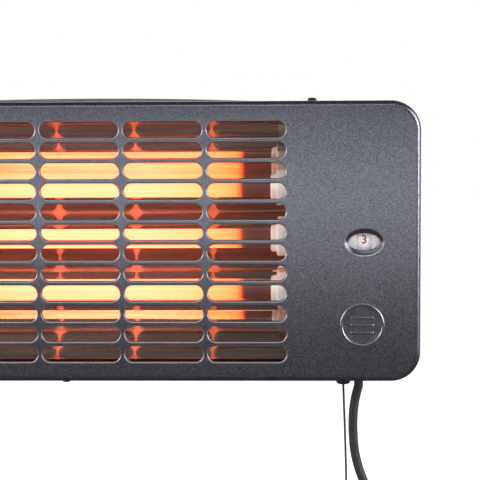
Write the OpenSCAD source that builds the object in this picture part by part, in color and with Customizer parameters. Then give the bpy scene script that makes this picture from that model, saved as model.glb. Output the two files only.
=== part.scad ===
// Wall-hung electric bar heater: three quartz tubes in front of a bent mirror, behind a
// slotted steel cover, with a pull-cord switch and a tilting wall bracket.
// X runs to the right, Y towards the wall and Z up, from the middle of the two wall holes.

/* [Body] */
// Width of the front cover
body_w = 489.4; // [484:0.2:520]
// Height of the front cover
body_h = 202; // [196:1:220]
// Depth from the front face to the back wall
body_d = 78; // [76:1:90]
// Thickness of the steel sheet
sheet = 1; // [0.8:0.1:1.4]
// Radius of the cover's corners, seen from the front
corner_r = 21.4; // [14:0.2:28]
// Radius of the cover's rolled front edge
edge_r = 4; // [2.5:0.5:6]
// Depth of the cover's rim
rim_d = 24; // [20:1:28]
// Gap between the cover's rim and the rear housing
rim_gap = 0.3; // [0.2:0.1:0.6]
// Distance from the front face back to the rear housing's open edge
housing_setback = 6; // [5:0.5:8]
// Rise of the crown on top of the rear housing
crown_h = 3.3; // [1:0.1:4.5]
// Radius of that crown
crown_r = 3250; // [2600:50:5000]
// Steel left between two vents side by side
vent_gap = 8; // [6:0.5:12]
// Height of a vent
vent_h = 4; // [3:0.5:6]

/* [Grille] */
// Slots above each other
slot_rows = 12; // [8:1:12]
// Slots side by side
slot_cols = 5; // [5:1:5]
// Plain steel left beside the grille
side_w = 96.5; // [95:0.1:98]
// Height of a slot
slot_h = 11.4; // [9:0.1:11.6]
// Steel left between two slots above each other
bar_h = 3.3; // [2.6:0.1:3.5]
// Steel left between two slots side by side
post_w = 3.6; // [3:0.1:4]
// Thickness of a slot's rolled-in lip
lip_t = 0.8; // [0.5:0.1:1]
// Depth of that lip behind the front face
lip_d = 3.4; // [2:0.2:4.4]

/* [Window and mark] */
// Distance of the window's centre from the cover's right edge
window_inset = 40.5; // [39:0.5:44]
// Width of the lens
lens_w = 21.6; // [18:0.2:24]
// Height of the lens
lens_h = 11.9; // [10:0.1:13]
// Gap round the lens
lens_gap = 0.4; // [0.3:0.1:0.6]
// Width of the dish round the lens
dish_w = 28; // [27:0.5:32]
// Height of that dish
dish_h = 19; // [18:0.5:22]
// Depth of that dish
dish_d = 1.4; // [0.8:0.1:1.8]
// Outer diameter of the embossed ring
ring_d = 31.4; // [26:0.2:34]
// Width of its raised line
ring_line = 1.5; // [1:0.1:2]
// Height by which it stands out
ring_rise = 0.6; // [0.3:0.1:1]
// Distance of the ring's centre below the window
ring_drop = 60; // [50:0.5:66]

/* [Tubes] */
// Distance from one tube to the next
tube_pitch = 37.5; // [34:0.5:44]
// Outer diameter of a quartz tube
tube_d = 14; // [12:0.2:16]
// Wall of a quartz tube
tube_wall = 1.2; // [1:0.1:1.6]
// Depth of the tube axes behind the front face
tube_depth = 35; // [32:0.5:37]
// Outer diameter of a heating spiral
spiral_d = 9; // [7:0.2:9]
// Glowing length of a spiral
glow_l = 240; // [200:2:250]
// Diameter of a spiral's straight ends
lead_d = 1.6; // [1:0.2:2]
// Diameter of a ceramic cap's neck
neck_d = 20; // [19:0.5:24]
// Length of that neck
neck_l = 4.3; // [3:0.1:6]
// Diameter of the cap's flange
flange_d = 26; // [25:0.5:30]
// Length of that flange
flange_l = 13; // [11:0.5:14]
// Diameter of the cap's spigot behind the end plate
spigot_d = 16; // [12:0.5:18]
// Length of that spigot
spigot_l = 9; // [7:0.5:10]
// Gap between a tube and its cap
tube_fit = 0.15; // [0.1:0.05:0.3]

/* [Reflector] */
// Depth of the mirror's middle behind the front face
mirror_depth = 56; // [50:0.5:58]
// Thickness of the mirror sheet
mirror_t = 0.8; // [0.5:0.1:1]
// Distance of an end plate from the last slot
end_margin = 5.8; // [5:0.2:7]
// Thickness of an end plate
end_t = 1.2; // [1:0.1:1.5]
// Depth of the heat shield behind the front face
shield_depth = 64; // [62:0.5:66]

/* [Bracket] */
// Distance of the back wall from the room's wall
standoff = 46; // [44:1:60]
// Distance between the two wall holes
hole_pitch = 150; // [100:5:240]
// Diameter of a wall hole
hole_d = 6.5; // [5:0.5:8]
// Height of the wall plate
plate_h = 40; // [30:1:50]
// Thickness of the bracket steel
plate_t = 2; // [1.5:0.5:3]
// Distance of an ear's outer face beyond the end plate
ear_out = 10; // [9.5:0.1:11]
// Inner radius of the bend between the plate and an ear
bend_r = 2; // [1:0.5:3]
// Distance of the pivot from the room's wall
pivot_out = 30; // [28:1:32]
// Distance of the pivot below the wall holes
pivot_drop = 30; // [25:1:36]
// Diameter of the pivot bolt
bolt_d = 6; // [5:0.5:6]
// Gap between the turning faces of the two brackets
turn_gap = 0.3; // [0.2:0.1:0.5]
// Radial running clearance of a pin in its hole
run_fit = 0.05; // [0.02:0.01:0.08]
// Diameter of a clamp knob
knob_d = 25; // [20:1:26]
// Thickness of a clamp knob
knob_t = 12; // [10:1:16]

/* [Switch] */
// Distance of the pull cord to the left of the window
pull_inset = 14.4; // [14:0.1:14.8]
// Depth of the drum axis behind the front face
drum_depth = 22; // [21.5:0.1:23]
// Diameter of the number drum
drum_d = 34; // [30:1:34]
// Width of the number drum
drum_w = 13; // [11:0.5:13]
// Diameter of the drum's shaft
shaft_d = 5; // [4:0.5:5]
// Radius at which the pull cord leaves the sector
sector_r = 14; // [13:0.1:14.5]
// Travel of the pull cord
pull_travel = 12; // [8:1:12]
// Width of the switch body
switch_w = 13; // [11:0.5:13]
// Height of the switch body
switch_h = 40; // [36:1:44]
// Depth of the switch body
switch_l = 36; // [34:1:36]

/* [Cords] */
// Diameter of the pull cord
pull_d = 1.7; // [1.5:0.1:1.8]
// Diameter of the mains lead
mains_d = 7; // [6.8:0.1:7.2]
// Length of the plug's pins
pin_l = 19; // [17:0.5:20]
// Diameter of a pin
pin_d = 4.8; // [4:0.1:5]
// Distance between the pins
pin_pitch = 19; // [18:0.5:20]

/* [Hidden] */
$fn = 64;

front_y = -(standoff + body_d);
back_y = -standoff;
inner_back_y = back_y - sheet;
tube_y = front_y + tube_depth;
shield_y = front_y + shield_depth;

housing_w = body_w - 2 * (sheet + rim_gap);
housing_h = body_h - 2 * (sheet + rim_gap);
housing_r = corner_r - sheet - rim_gap;
floor_z = -housing_h / 2;
inner_floor_z = floor_z + sheet;
crown_d = body_d - rim_d - rim_gap;
vent_rows = [60, 70, 80];
vent_cols = 6;

grille_w = body_w - 2 * side_w;
slot_px = (grille_w + post_w) / slot_cols;
slot_w = slot_px - post_w;
slot_pz = slot_h + bar_h;
end_x = grille_w / 2 + end_margin;
plate_front = 8;
vent_pitch = (2 * end_x - 4 + vent_gap) / vent_cols;
vent_w = vent_pitch - vent_gap;
ear_span = 2 * (end_x + ear_out);

window_x = body_w / 2 - window_inset;
ring_x = window_x - 1.5;
rib_w = 16;
rib_h = 1.6;
rib_pitch = 5.4;

lens_t = 3.2;
lens_rim = 2.2;
lens_rim_t = 1;

cap_x = end_x - flange_l - neck_l;
tube_x = end_x - 6;
bore_x = end_x - 4;
cap_back_x = end_x + spigot_l;
pin_r = 1.5;
blade_w = 6.3;
blade_t = 0.8;
blade_x0 = cap_back_x - 1;
blade_x1 = end_x + 14;
tube_rows = [1, 0, -1];

// Bends of the mirror's section: height and distance in front of its flat parts, with a low
// ridge behind each tube and a wing above and below
ridge = 1.2;
ridge_half = 10.5;
mirror_bends = [
    [-90, 19.1], [-tube_pitch - 18.4, 2.1], [-tube_pitch - 7.5, 0.3], [-tube_pitch, ridge],
    [ridge_half - tube_pitch, 0], [-ridge_half, 0], [0, ridge], [ridge_half, 0],
    [tube_pitch - ridge_half, 0], [tube_pitch - 1.5, ridge], [tube_pitch + 5.5, 0],
    [tube_pitch + 12.8, 1.25], [90, 18.9]];

pivot_y = -pivot_out;
pivot_z = -pivot_drop;
pivot_eye_r = 11;
ear_x = ear_span / 2 - plate_t;
lug_x = ear_x - turn_gap;
lug_in_x = lug_x - plate_t;
lug_foot_w = 26;
lug_foot_h = 30;
rivet_r = 2;
rivet_head_r = 3.4;
rivet_xs = [end_x - rivet_head_r - 0.6, end_x - rivet_head_r - 9.6];
washer_t = 1.2;
washer_x = ear_span / 2 + turn_gap;
knob_x = washer_x + washer_t + turn_gap;
knob_lobes = 6;

cover_screw_y = front_y + 12;
top_screw_xs = [-167.2, 167.2];
bottom_screw_x = -12.7;
screw_r = 1.6;
press_fit = 0.02;
screw_fit = 0.05;
end_screw_zs = [-82, 82];
end_flange_w = 12;
end_screw_x = end_x + end_t + end_flange_w / 2;
wire_hole_z = -12;

drum_y = front_y + drum_depth;
drum_x0 = window_x - drum_w / 2;
drum_x1 = window_x + drum_w / 2;
drum_skin = 1.6;
pull_x = window_x - pull_inset;
pull_y = drum_y + sector_r;
sector_w = 5;
sector_lip = 2;
groove_w = 2.3;
switch_x1 = pull_x - 6.8;
switch_x0 = switch_x1 - switch_w;
switch_y0 = drum_y - switch_l / 2;
switch_y1 = drum_y + switch_l / 2;
arm_x = drum_x1 + 2;
arm_t = 1.5;
ratchet_x0 = pull_x + 3.4;
ratchet_x1 = drum_x0 - 0.8;

bush_r = 5.4;
bush_neck_r = 4;
bush_z = floor_z - 8.7;
bush_bore_r = 1.4;
bush_top = 2.2;
bead_r = 2.6;
bead_h = 6;
bead_z = inner_floor_z + bush_top + pull_travel;
gland_x = window_x - 2.5;
gland_y = front_y + 53;
gland_z = floor_z - 8.8;
gland_r = 7.5;
gland_neck_r = 5.5;
gland_bore_r = mains_d / 2 + run_fit;

coil_turns_r = 42;
coil_lanes = 3;
coil_layers = 2;
coil_x = gland_x - 17.5;
coil_z = gland_z - 144.5;
coil_band = coil_lanes * mains_d;
coil_deep = coil_layers * mains_d;
tail_x = coil_x + coil_turns_r + mains_d;
tail_y = gland_y - mains_d / 2;
tail_z = coil_z - 32;
sleeve_l = 22;
plug_r = 18.5;
plug_z = tail_z - sleeve_l;
plug_l = 36;
plug_face_z = plug_z - plug_l;

// Route of the mains lead from its ball to the coil: steps from the gland's mouth
mains_route = [for (q = [
    [0, 0, -3.5], [-1.3, 0, -8.5], [-2.7, 0, -14.5], [-3.8, 0, -22.5], [-4.3, 0, -31.5],
    [-4.1, 0, -41.5], [-3.2, 0, -52.5], [-0.9, 0, -63.5], [2.8, 0, -74.5], [7.9, 0.4, -85.5],
    [14, 1.2, -96.5], [20.5, 2.3, -107.5], [26, 3.1, -119.5], [30, 3.5, -131.5],
    [tail_x - gland_x, mains_d / 2, coil_z - gland_z]])
    [gland_x, gland_y, gland_z] + q];

// Route of the pull cord down to its knob: steps from the bush's mouth
pull_route = [for (q = [
    [0, 0, -0.9], [0.3, 0, -8.6], [0.6, 0, -17.6], [1, 0, -28.6], [1.3, 0, -38.6],
    [1.6, 0, -48.6], [1.9, 0, -60.6], [2.2, 0, -74.6], [2.5, 0, -92.6], [2.8, 0, -117.6],
    [2.9, 0, -147.6], [2.9, 0, -182.6], [2.9, 0, -207.6], [2.9, 0, -228.6]])
    [pull_x, pull_y, bush_z] + q];
pull_end = pull_route[len(pull_route) - 1];

block_x0 = gland_x - 25;
block_x1 = gland_x + 27;
block_z0 = -50;
block_z1 = -30;
block_y0 = inner_back_y - 16;
block_poles = 4;
pole = (block_x1 - block_x0) / block_poles;
well_r = 2.4;
earth_x = gland_x + 18;
earth_y = inner_back_y - 12;
earth_nut_h = 2.4;
eye_z = inner_floor_z + earth_nut_h;
eye_r = 4.4;
eye_t = 0.8;
wire_r = 1.2;
stub = 1.6;
shield_t = 0.8;
low_y = (shield_y + shield_t + inner_back_y) / 2;
link_x = blade_x1 + 8;

// Height at the share f of the way from the floor up to the terminal block
function climb(f) = inner_floor_z + f * (block_z0 - inner_floor_z);

// Route of the sheathed lead inside, from the gland's mouth to the terminal block
supply_route = [
    [gland_x, gland_y, gland_z], [gland_x, gland_y, inner_floor_z],
    [gland_x, gland_y, climb(0.21)], [gland_x, gland_y + 1, climb(0.36)],
    [gland_x, gland_y + 4.5, climb(0.54)], [gland_x, gland_y + 10.5, climb(0.72)],
    [gland_x, block_y0 + 7.4, climb(0.87)], [gland_x, block_y0 + 8, climb(0.95)],
    [gland_x, block_y0 + 8, block_z0]];

// Routes of the single wires: block to switch, switch to the right ends, links at the left,
// the long return behind the shield, and the earth wire
wire_routes = [
    [[block_x0 + 10, block_y0 + 6, block_z1], [block_x0 + 10, block_y0 + 6, block_z1 + stub],
     [block_x0 + 9.4, block_y0 + 3, -27], [switch_x0 + 12, block_y0 - 9, -26],
     [switch_x0 + 9, switch_y1, -27], [switch_x0 + 7, drum_y + 10, -25.5],
     [switch_x0 + 6.5, drum_y + 6, -switch_h / 2 - stub],
     [switch_x0 + 6.5, drum_y + 6, -switch_h / 2]],
    [[switch_x0 + 6, drum_y + 2, switch_h / 2], [switch_x0 + 6, drum_y + 2, switch_h / 2 + stub],
     [switch_x0 + 6, drum_y + 3.5, 27], [switch_x0 + 6, drum_y + 7, 33],
     [blade_x1 + 5.5, tube_y - 1.5, tube_pitch - 0.5], [blade_x1 + stub, tube_y, tube_pitch],
     [blade_x1, tube_y, tube_pitch]],
    [[switch_x0 + 7, drum_y - 6, -switch_h / 2], [switch_x0 + 7, drum_y - 6, -switch_h / 2 - stub],
     [switch_x0 + 7, drum_y - 4, -27], [switch_x0 + 6, drum_y + 2, -33],
     [blade_x1 + 5.5, tube_y - 2, 0.5 - tube_pitch], [blade_x1 + stub, tube_y, -tube_pitch],
     [blade_x1, tube_y, -tube_pitch]],
    [[switch_x0, drum_y - 11, 6], [switch_x0 - stub, drum_y - 11, 6],
     [switch_x0 - 3.4, drum_y - 10.2, 5], [blade_x1 - 2.4, drum_y - 7, 3.6],
     [blade_x1 - 2.5, drum_y - 2, 1.5], [blade_x1 - 2.5, tube_y - 9, 0],
     [blade_x1 - 2.5, tube_y - blade_w / 2, 0]],
    [[-blade_x1, tube_y, tube_pitch], [-blade_x1 - stub, tube_y, tube_pitch],
     [3 - link_x, tube_y, tube_pitch - 2], [-link_x, tube_y, 28], [-link_x, tube_y, 12],
     [3 - link_x, tube_y, 3.6], [-blade_x1 - stub, tube_y, 1.6], [-blade_x1, tube_y, 1.6]],
    [[-blade_x1, tube_y - 1.4, -1.6], [-blade_x1 - stub, tube_y - 1.4, -1.6],
     [3 - link_x, tube_y - 1.4, -4], [-link_x, tube_y - 1.4, -12],
     [-link_x, tube_y - 1.4, -26], [3 - link_x, tube_y - 1.4, 4 - tube_pitch],
     [-blade_x1 - stub, tube_y - 1.4, 1.6 - tube_pitch],
     [-blade_x1, tube_y - 1.4, 1.6 - tube_pitch]],
    [[block_x0 + 4, block_y0 + 8, block_z1], [block_x0 + 4, block_y0 + 8, block_z1 + stub],
     [block_x0 + 2, low_y, -26], [block_x0 - 5, low_y, -23.5], [end_x + 11.5, low_y, -16.5],
     [end_x + 6, low_y, wire_hole_z], [-end_x - 6, low_y, wire_hole_z],
     [-end_x - 18, low_y, -13], [-end_x - 24, low_y - 6, -18],
     [-end_x - 26, (low_y + tube_y) / 2, -27], [-end_x - 24, tube_y + 8, -35],
     [-blade_x1 - 5, tube_y + 2, -tube_pitch], [-blade_x1 - stub, tube_y + 1.6, -tube_pitch],
     [-blade_x1, tube_y + 1.6, -tube_pitch]],
    [[block_x1 - pole / 2, block_y0 + 6, block_z0],
     [block_x1 - pole / 2, block_y0 + 6, block_z0 - stub],
     [block_x1 - pole / 2, earth_y + 5, climb(0.66)], [earth_x + 0.5, earth_y + 6.8, climb(0.37)],
     [earth_x, earth_y + 7, climb(0.2)], [earth_x, earth_y + 6.4, eye_z + 2.7],
     [earth_x, earth_y + 3.8, eye_z + eye_t / 2]]];

// ---- shapes used by several parts ----

module block(a, b) {
    translate(a) cube(b - a);
}

module rod_x(r, x0, x1, y, z) {
    translate([x0, y, z]) rotate([0, 90, 0]) cylinder(r = r, h = x1 - x0);
}

module rod_y(r, y0, y1, x, z) {
    translate([x, y1, z]) rotate([90, 0, 0]) cylinder(r = r, h = y1 - y0);
}

module rod_z(r, z0, z1, x, y) {
    translate([x, y, z0]) cylinder(r = r, h = z1 - z0);
}

// Draws with X right, Y up and Z out of the front face
module facing() {
    translate([0, front_y, 0]) rotate([90, 0, 0]) children();
}

// Draws on the right as it stands, or mirrored to the left
module on_side(side) {
    mirror([side < 0 ? 1 : 0, 0, 0]) children();
}

module rounded_rect(w, h, r) {
    square([w - 2 * r, h], center = true);
    square([w, h - 2 * r], center = true);
    for (x = [-1, 1], y = [-1, 1])
        translate([x * (w / 2 - r), y * (h / 2 - r)]) circle(r);
}

module stadium(w, h) {
    square([w - h, h], center = true);
    for (x = [-1, 1]) translate([x * (w - h) / 2, 0]) circle(h / 2);
}

module oval(w, h, n = 48) {
    polygon([for (i = [0:n - 1]) [w / 2 * cos(360 * i / n), h / 2 * sin(360 * i / n)]]);
}

function unit(v) = v / norm(v);
function heading(p, i) = unit(p[min(i + 1, len(p) - 1)] - p[max(i - 1, 0)]);
function circle_at(c, d, r, n) =
    let (u = unit(cross(d, [0.31, 1, 0.17])), v = cross(d, u))
    [for (k = [0:n - 1]) c + r * (cos(360 * k / n) * u + sin(360 * k / n) * v)];

// Tube swept along points p, with a radius for each of them
module sweep(p, radii, n = 8) {
    last = len(p) - 1;
    points = [for (i = [0:last]) each circle_at(p[i], heading(p, i), radii[i], n)];
    sides = [for (i = [0:last - 1], k = [0:n - 1])
        let (a = i * n + k, b = i * n + (k + 1) % n)
        each [[a, a + n, b], [b, a + n, b + n]]];
    start = [for (k = [0:n - 1]) k];
    end = [for (k = [n - 1:-1:0]) last * n + k];
    polyhedron(points, concat([start], sides, [end]));
}

module plain_tube(p, r, n = 8) {
    sweep(p, [for (i = p) r], n);
}

// The same with a ball end round the first point
module ball_tube(p, r, n = 8) {
    angles = [12, 36, 64];
    d = unit(p[1] - p[0]);
    ball = [for (a = angles) p[0] - d * r * cos(a)];
    sweep(concat(ball, p), concat([for (a = angles) r * sin(a)], [for (i = p) r]), n);
}

// ---- shell ----

// Filled section of a tray: c across from its corner centre, front edge radius e, depth d
module edge_section(c, e, d) {
    translate([0, -d]) square([c - e, d]);
    translate([0, -d]) square([c, d - e]);
    translate([c - e, -e]) circle(e);
}

module edge_skin(c, e, t, d) {
    difference() {
        edge_section(c, e, d);
        translate([0, -t]) edge_section(c - t, e - t, d);
    }
}

module tray(w, h, c, e, t, d) {
    for (k = [0:3]) {
        a = k % 2 == 0 ? w : h;
        b = k % 2 == 0 ? h : w;
        rotate([0, 0, 90 * k]) {
            translate([a / 2 - c, b / 2 - c, 0]) rotate_extrude(angle = 90) edge_skin(c, e, t, d);
            translate([c - a / 2, b / 2 - c, 0]) rotate([90, 0, 90])
                linear_extrude(a - 2 * c) edge_skin(c, e, t, d);
        }
    }
    translate([c - w / 2, c - h / 2, -t]) cube([w - 2 * c, h - 2 * c, t]);
}

module slots(grow) {
    for (i = [0:slot_cols - 1], j = [0:slot_rows - 1])
        translate([(i - (slot_cols - 1) / 2) * slot_px, (j - (slot_rows - 1) / 2) * slot_pz])
            stadium(slot_w + 2 * grow, slot_h + 2 * grow);
}

module embossed_ring() {
    translate([ring_x, -ring_drop, -sheet / 2]) linear_extrude(sheet / 2 + ring_rise) {
        difference() {
            circle(ring_d / 2);
            circle(ring_d / 2 - ring_line);
        }
        for (k = [-1:1]) translate([0, k * rib_pitch]) stadium(rib_w, rib_h);
    }
}

module cover_holes(r) {
    for (x = top_screw_xs) rod_z(r, body_h / 2 - 6, body_h / 2 + 1, x, cover_screw_y);
    rod_z(r, -body_h / 2 - 1, 6 - body_h / 2, bottom_screw_x, cover_screw_y);
}

module front_cover() {
    color("#4a4d56") difference() {
        facing() {
            tray(body_w, body_h, corner_r, edge_r, sheet, rim_d);
            translate([0, 0, -lip_d]) linear_extrude(lip_d - sheet / 2) slots(lip_t);
            translate([window_x, 0, -dish_d - sheet]) linear_extrude(dish_d + sheet / 2)
                oval(dish_w + 2 * sheet, dish_h + 2 * sheet);
            embossed_ring();
        }
        facing() translate([0, 0, -lip_d - 1]) linear_extrude(lip_d + 2) slots(0);
        facing() translate([window_x, 0, -dish_d]) linear_extrude(dish_d + 1) oval(dish_w, dish_h);
        facing() translate([window_x, 0, -dish_d - 2 * sheet]) linear_extrude(3 * sheet)
            oval(lens_w + 2 * lens_gap, lens_h + 2 * lens_gap);
        cover_holes(screw_r + screw_fit);
    }
}

module housing_outline(t) {
    rounded_rect(housing_w - 2 * t, housing_h - 2 * t, housing_r - t);
}

module crown_outline(t) {
    intersection() {
        translate([0, housing_h / 2 + crown_h - crown_r]) circle(crown_r - t, $fn = 720);
        translate([housing_r - housing_w / 2, housing_h / 2 - 6])
            square([housing_w - 2 * housing_r, 6 + crown_h]);
    }
}

module rear_housing() {
    color("#8a857c") difference() {
        facing() translate([0, 0, -body_d]) {
            linear_extrude(body_d - housing_setback) housing_outline(0);
            linear_extrude(crown_d) crown_outline(0);
        }
        facing() translate([0, 0, sheet - body_d]) {
            linear_extrude(body_d) housing_outline(sheet);
            linear_extrude(crown_d - 2 * sheet) crown_outline(sheet);
        }
        facing() translate([0, 0, -body_d - 1]) linear_extrude(sheet + 2)
            for (side = [-1, 1], z = vent_rows, i = [0:vent_cols - 1])
                translate([(i - (vent_cols - 1) / 2) * vent_pitch, side * z]) stadium(vent_w, vent_h);
        cover_holes(screw_r + screw_fit);
        for (side = [-1, 1]) on_side(side) {
            for (z = end_screw_zs)
                rod_y(screw_r + screw_fit, inner_back_y - 1, back_y + 1, end_screw_x, z);
            for (x = rivet_xs) rod_y(rivet_r + screw_fit, inner_back_y - 1, back_y + 1, x, pivot_z);
        }
        rod_z(bush_neck_r + screw_fit, floor_z - 1, inner_floor_z + 1, pull_x, pull_y);
        rod_z(gland_neck_r + screw_fit, floor_z - 1, inner_floor_z + 1, gland_x, gland_y);
        rod_z(screw_r + screw_fit, floor_z - 1, inner_floor_z + 1, earth_x, earth_y);
    }
}

module cover_screws() {
    head_r = 3.2;
    head_h = 2.1;
    color("#1c1c1e") {
        for (x = top_screw_xs) {
            rod_z(head_r, body_h / 2, body_h / 2 + head_h, x, cover_screw_y);
            rod_z(screw_r, body_h / 2 - 5, body_h / 2, x, cover_screw_y);
        }
        rod_z(head_r, -body_h / 2 - head_h, -body_h / 2, bottom_screw_x, cover_screw_y);
        rod_z(screw_r, -body_h / 2, 5 - body_h / 2, bottom_screw_x, cover_screw_y);
    }
}

// ---- mirror and its ends ----

function mirror_line(back) =
    [for (q = mirror_bends) [front_y + mirror_depth - q[1] + back, q[0]]];
function reversed(p) = [for (i = [len(p) - 1:-1:0]) p[i]];

module reflector() {
    color("#e4e2dc") translate([-end_x, 0, 0]) rotate([90, 0, 90]) linear_extrude(2 * end_x)
        polygon(concat(mirror_line(0), reversed(mirror_line(mirror_t))));
}

module heat_shield() {
    shield_h = 160;
    fold = 5;
    color("#b9bab8") {
        block([-end_x, shield_y, -shield_h / 2], [end_x, shield_y + shield_t, shield_h / 2]);
        for (z = [-shield_h / 2, shield_h / 2 - shield_t])
            block([-end_x, shield_y - fold, z], [end_x, shield_y, z + shield_t]);
    }
}

module end_plate() {
    plate_z = 91;
    color("#c4c4c2") difference() {
        union() {
            block([end_x, front_y + plate_front, -plate_z], [end_x + end_t, inner_back_y, plate_z]);
            block([end_x, inner_back_y - end_t, -plate_z],
                  [end_x + end_t + end_flange_w, inner_back_y, plate_z]);
        }
        for (k = tube_rows)
            rod_x(spigot_d / 2 + tube_fit, end_x - 1, end_x + end_t + 1, tube_y, k * tube_pitch);
        rod_x(wire_r + 0.8, end_x - 1, end_x + end_t + 1, low_y, wire_hole_z);
        for (z = end_screw_zs)
            rod_y(screw_r + screw_fit, inner_back_y - 3, inner_back_y + 1, end_screw_x, z);
    }
}

module end_plate_left() on_side(-1) end_plate();
module end_plate_right() on_side(1) end_plate();

module end_plate_screws() {
    head_r = 3.2;
    head_h = 1.8;
    color("#b0b0ae") for (side = [-1, 1], z = end_screw_zs) on_side(side) {
        rod_y(head_r, back_y, back_y + head_h, end_screw_x, z);
        rod_y(screw_r, inner_back_y - 4, back_y, end_screw_x, z);
    }
}

module reflector_clips() {
    clip_z = 66;
    clip_h = 3;
    clip_y0 = front_y + 26;
    clip_y1 = front_y + mirror_depth - 9;
    color("#d8d8d4") for (side = [-1, 1], up = [-1, 1]) on_side(side)
        block([end_x - 12, clip_y0, up * clip_z - clip_h / 2],
              [end_x, clip_y1, up * clip_z + clip_h / 2]);
}

// ---- tubes ----

module quartz_tube(k) {
    color("#e8c9a0") difference() {
        rod_x(tube_d / 2, -tube_x, tube_x, tube_y, k * tube_pitch);
        rod_x(tube_d / 2 - tube_wall, -tube_x - 1, tube_x + 1, tube_y, k * tube_pitch);
    }
}

module quartz_tube_top() quartz_tube(1);
module quartz_tube_middle() quartz_tube(0);
module quartz_tube_bottom() quartz_tube(-1);

module heating_spiral(k) {
    color("#ff9a3c") {
        rod_x(spiral_d / 2, -glow_l / 2, glow_l / 2, tube_y, k * tube_pitch);
        for (side = [-1, 1]) on_side(side)
            rod_x(lead_d / 2, glow_l / 2, tube_x, tube_y, k * tube_pitch);
    }
}

module heating_spiral_top() heating_spiral(1);
module heating_spiral_middle() heating_spiral(0);
module heating_spiral_bottom() heating_spiral(-1);

module ceramic_cap(side, k) {
    z = k * tube_pitch;
    color("#efeae2") on_side(side) difference() {
        union() {
            rod_x(neck_d / 2, cap_x, end_x - flange_l, tube_y, z);
            rod_x(flange_d / 2, end_x - flange_l, end_x, tube_y, z);
            rod_x(spigot_d / 2, end_x, cap_back_x, tube_y, z);
        }
        rod_x(tube_d / 2 + tube_fit, cap_x - 1, bore_x, tube_y, z);
        rod_x(pin_r + tube_fit, bore_x - 1, cap_back_x + 1, tube_y, z);
    }
}

module ceramic_cap_top_left() ceramic_cap(-1, 1);
module ceramic_cap_middle_left() ceramic_cap(-1, 0);
module ceramic_cap_bottom_left() ceramic_cap(-1, -1);
module ceramic_cap_top_right() ceramic_cap(1, 1);
module ceramic_cap_middle_right() ceramic_cap(1, 0);
module ceramic_cap_bottom_right() ceramic_cap(1, -1);

module cap_clips() {
    clip_t = 1;
    clip_rim = 3.5;
    x = end_x + end_t;
    color("#a8a8a6") for (side = [-1, 1], k = tube_rows) on_side(side) difference() {
        rod_x(spigot_d / 2 + clip_rim, x, x + clip_t, tube_y, k * tube_pitch);
        rod_x(spigot_d / 2 + run_fit, x - 1, x + clip_t + 1, tube_y, k * tube_pitch);
    }
}

module tube_terminals() {
    color("#b7b4a8") for (side = [-1, 1], k = tube_rows) on_side(side) {
        z = k * tube_pitch;
        rod_x(pin_r, tube_x, blade_x0 + 2, tube_y, z);
        block([blade_x0 + 1.2, tube_y - blade_w / 2, z - blade_t / 2],
              [blade_x1, tube_y + blade_w / 2, z + blade_t / 2]);
    }
}

// ---- tilting bracket ----

module wall_ear() {
    difference() {
        translate([ear_x, 0, 0]) rotate([90, 0, 90]) linear_extrude(plate_t) hull() {
            translate([pivot_y, pivot_z]) circle(pivot_eye_r, $fn = 32);
            translate([-bend_r - plate_t - 8, -plate_h / 2]) square([8, plate_h]);
        }
        rod_x(bolt_d / 2 + run_fit, ear_x - 1, ear_span / 2 + 1, pivot_y, pivot_z);
    }
}

module wall_bend() {
    r = bend_r + plate_t;
    translate([ear_span / 2 - r, -r, -plate_h / 2]) linear_extrude(plate_h) difference() {
        intersection() {
            circle(r);
            square(r);
        }
        circle(bend_r);
    }
}

module wall_plate() {
    flat_x = ear_span / 2 - bend_r - plate_t;
    color("#35373c") difference() {
        union() {
            block([-flat_x, -plate_t, -plate_h / 2], [flat_x, 0, plate_h / 2]);
            for (side = [-1, 1]) on_side(side) {
                wall_bend();
                wall_ear();
            }
        }
        for (side = [-1, 1]) rod_y(hole_d / 2, -plate_t - 1, 1, side * hole_pitch / 2, 0);
    }
}

module tilt_lug() {
    foot_y = back_y + plate_t;
    color("#35373c") difference() {
        union() {
            block([lug_x - lug_foot_w, back_y, pivot_z - lug_foot_h / 2],
                  [lug_x, foot_y, pivot_z + lug_foot_h / 2]);
            translate([lug_in_x, 0, 0]) rotate([90, 0, 90]) linear_extrude(plate_t) hull() {
                translate([pivot_y, pivot_z]) circle(pivot_eye_r, $fn = 32);
                translate([back_y, pivot_z - lug_foot_h / 2]) square([plate_t, lug_foot_h]);
            }
        }
        rod_x(bolt_d / 2 + run_fit, lug_in_x - 1, lug_x + 1, pivot_y, pivot_z);
        for (x = rivet_xs) rod_y(rivet_r + screw_fit, back_y - 1, foot_y + 1, x, pivot_z);
    }
}

module tilt_lug_left() on_side(-1) tilt_lug();
module tilt_lug_right() on_side(1) tilt_lug();

module lug_rivets() {
    head_h = 1.2;
    color("#a9a9a7") for (side = [-1, 1], x = rivet_xs) on_side(side) {
        rod_y(rivet_r, inner_back_y, back_y + plate_t, x, pivot_z);
        rod_y(rivet_head_r, back_y + plate_t, back_y + plate_t + head_h, x, pivot_z);
        rod_y(rivet_head_r, inner_back_y - head_h, inner_back_y, x, pivot_z);
    }
}

module pivot_bolt() {
    head_h = 3.4;
    color("#b4b4b2") {
        rod_x(bolt_d / 2 + 3.5, lug_in_x - head_h, lug_in_x, pivot_y, pivot_z);
        rod_x(bolt_d / 2, lug_in_x, knob_x + knob_t - 2, pivot_y, pivot_z);
    }
}

module pivot_bolt_left() on_side(-1) pivot_bolt();
module pivot_bolt_right() on_side(1) pivot_bolt();

module pivot_washers() {
    color("#c0c0be") for (side = [-1, 1]) on_side(side) difference() {
        rod_x(bolt_d / 2 + 4, washer_x, washer_x + washer_t, pivot_y, pivot_z);
        rod_x(bolt_d / 2 + run_fit, washer_x - 1, washer_x + washer_t + 1, pivot_y, pivot_z);
    }
}

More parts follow.
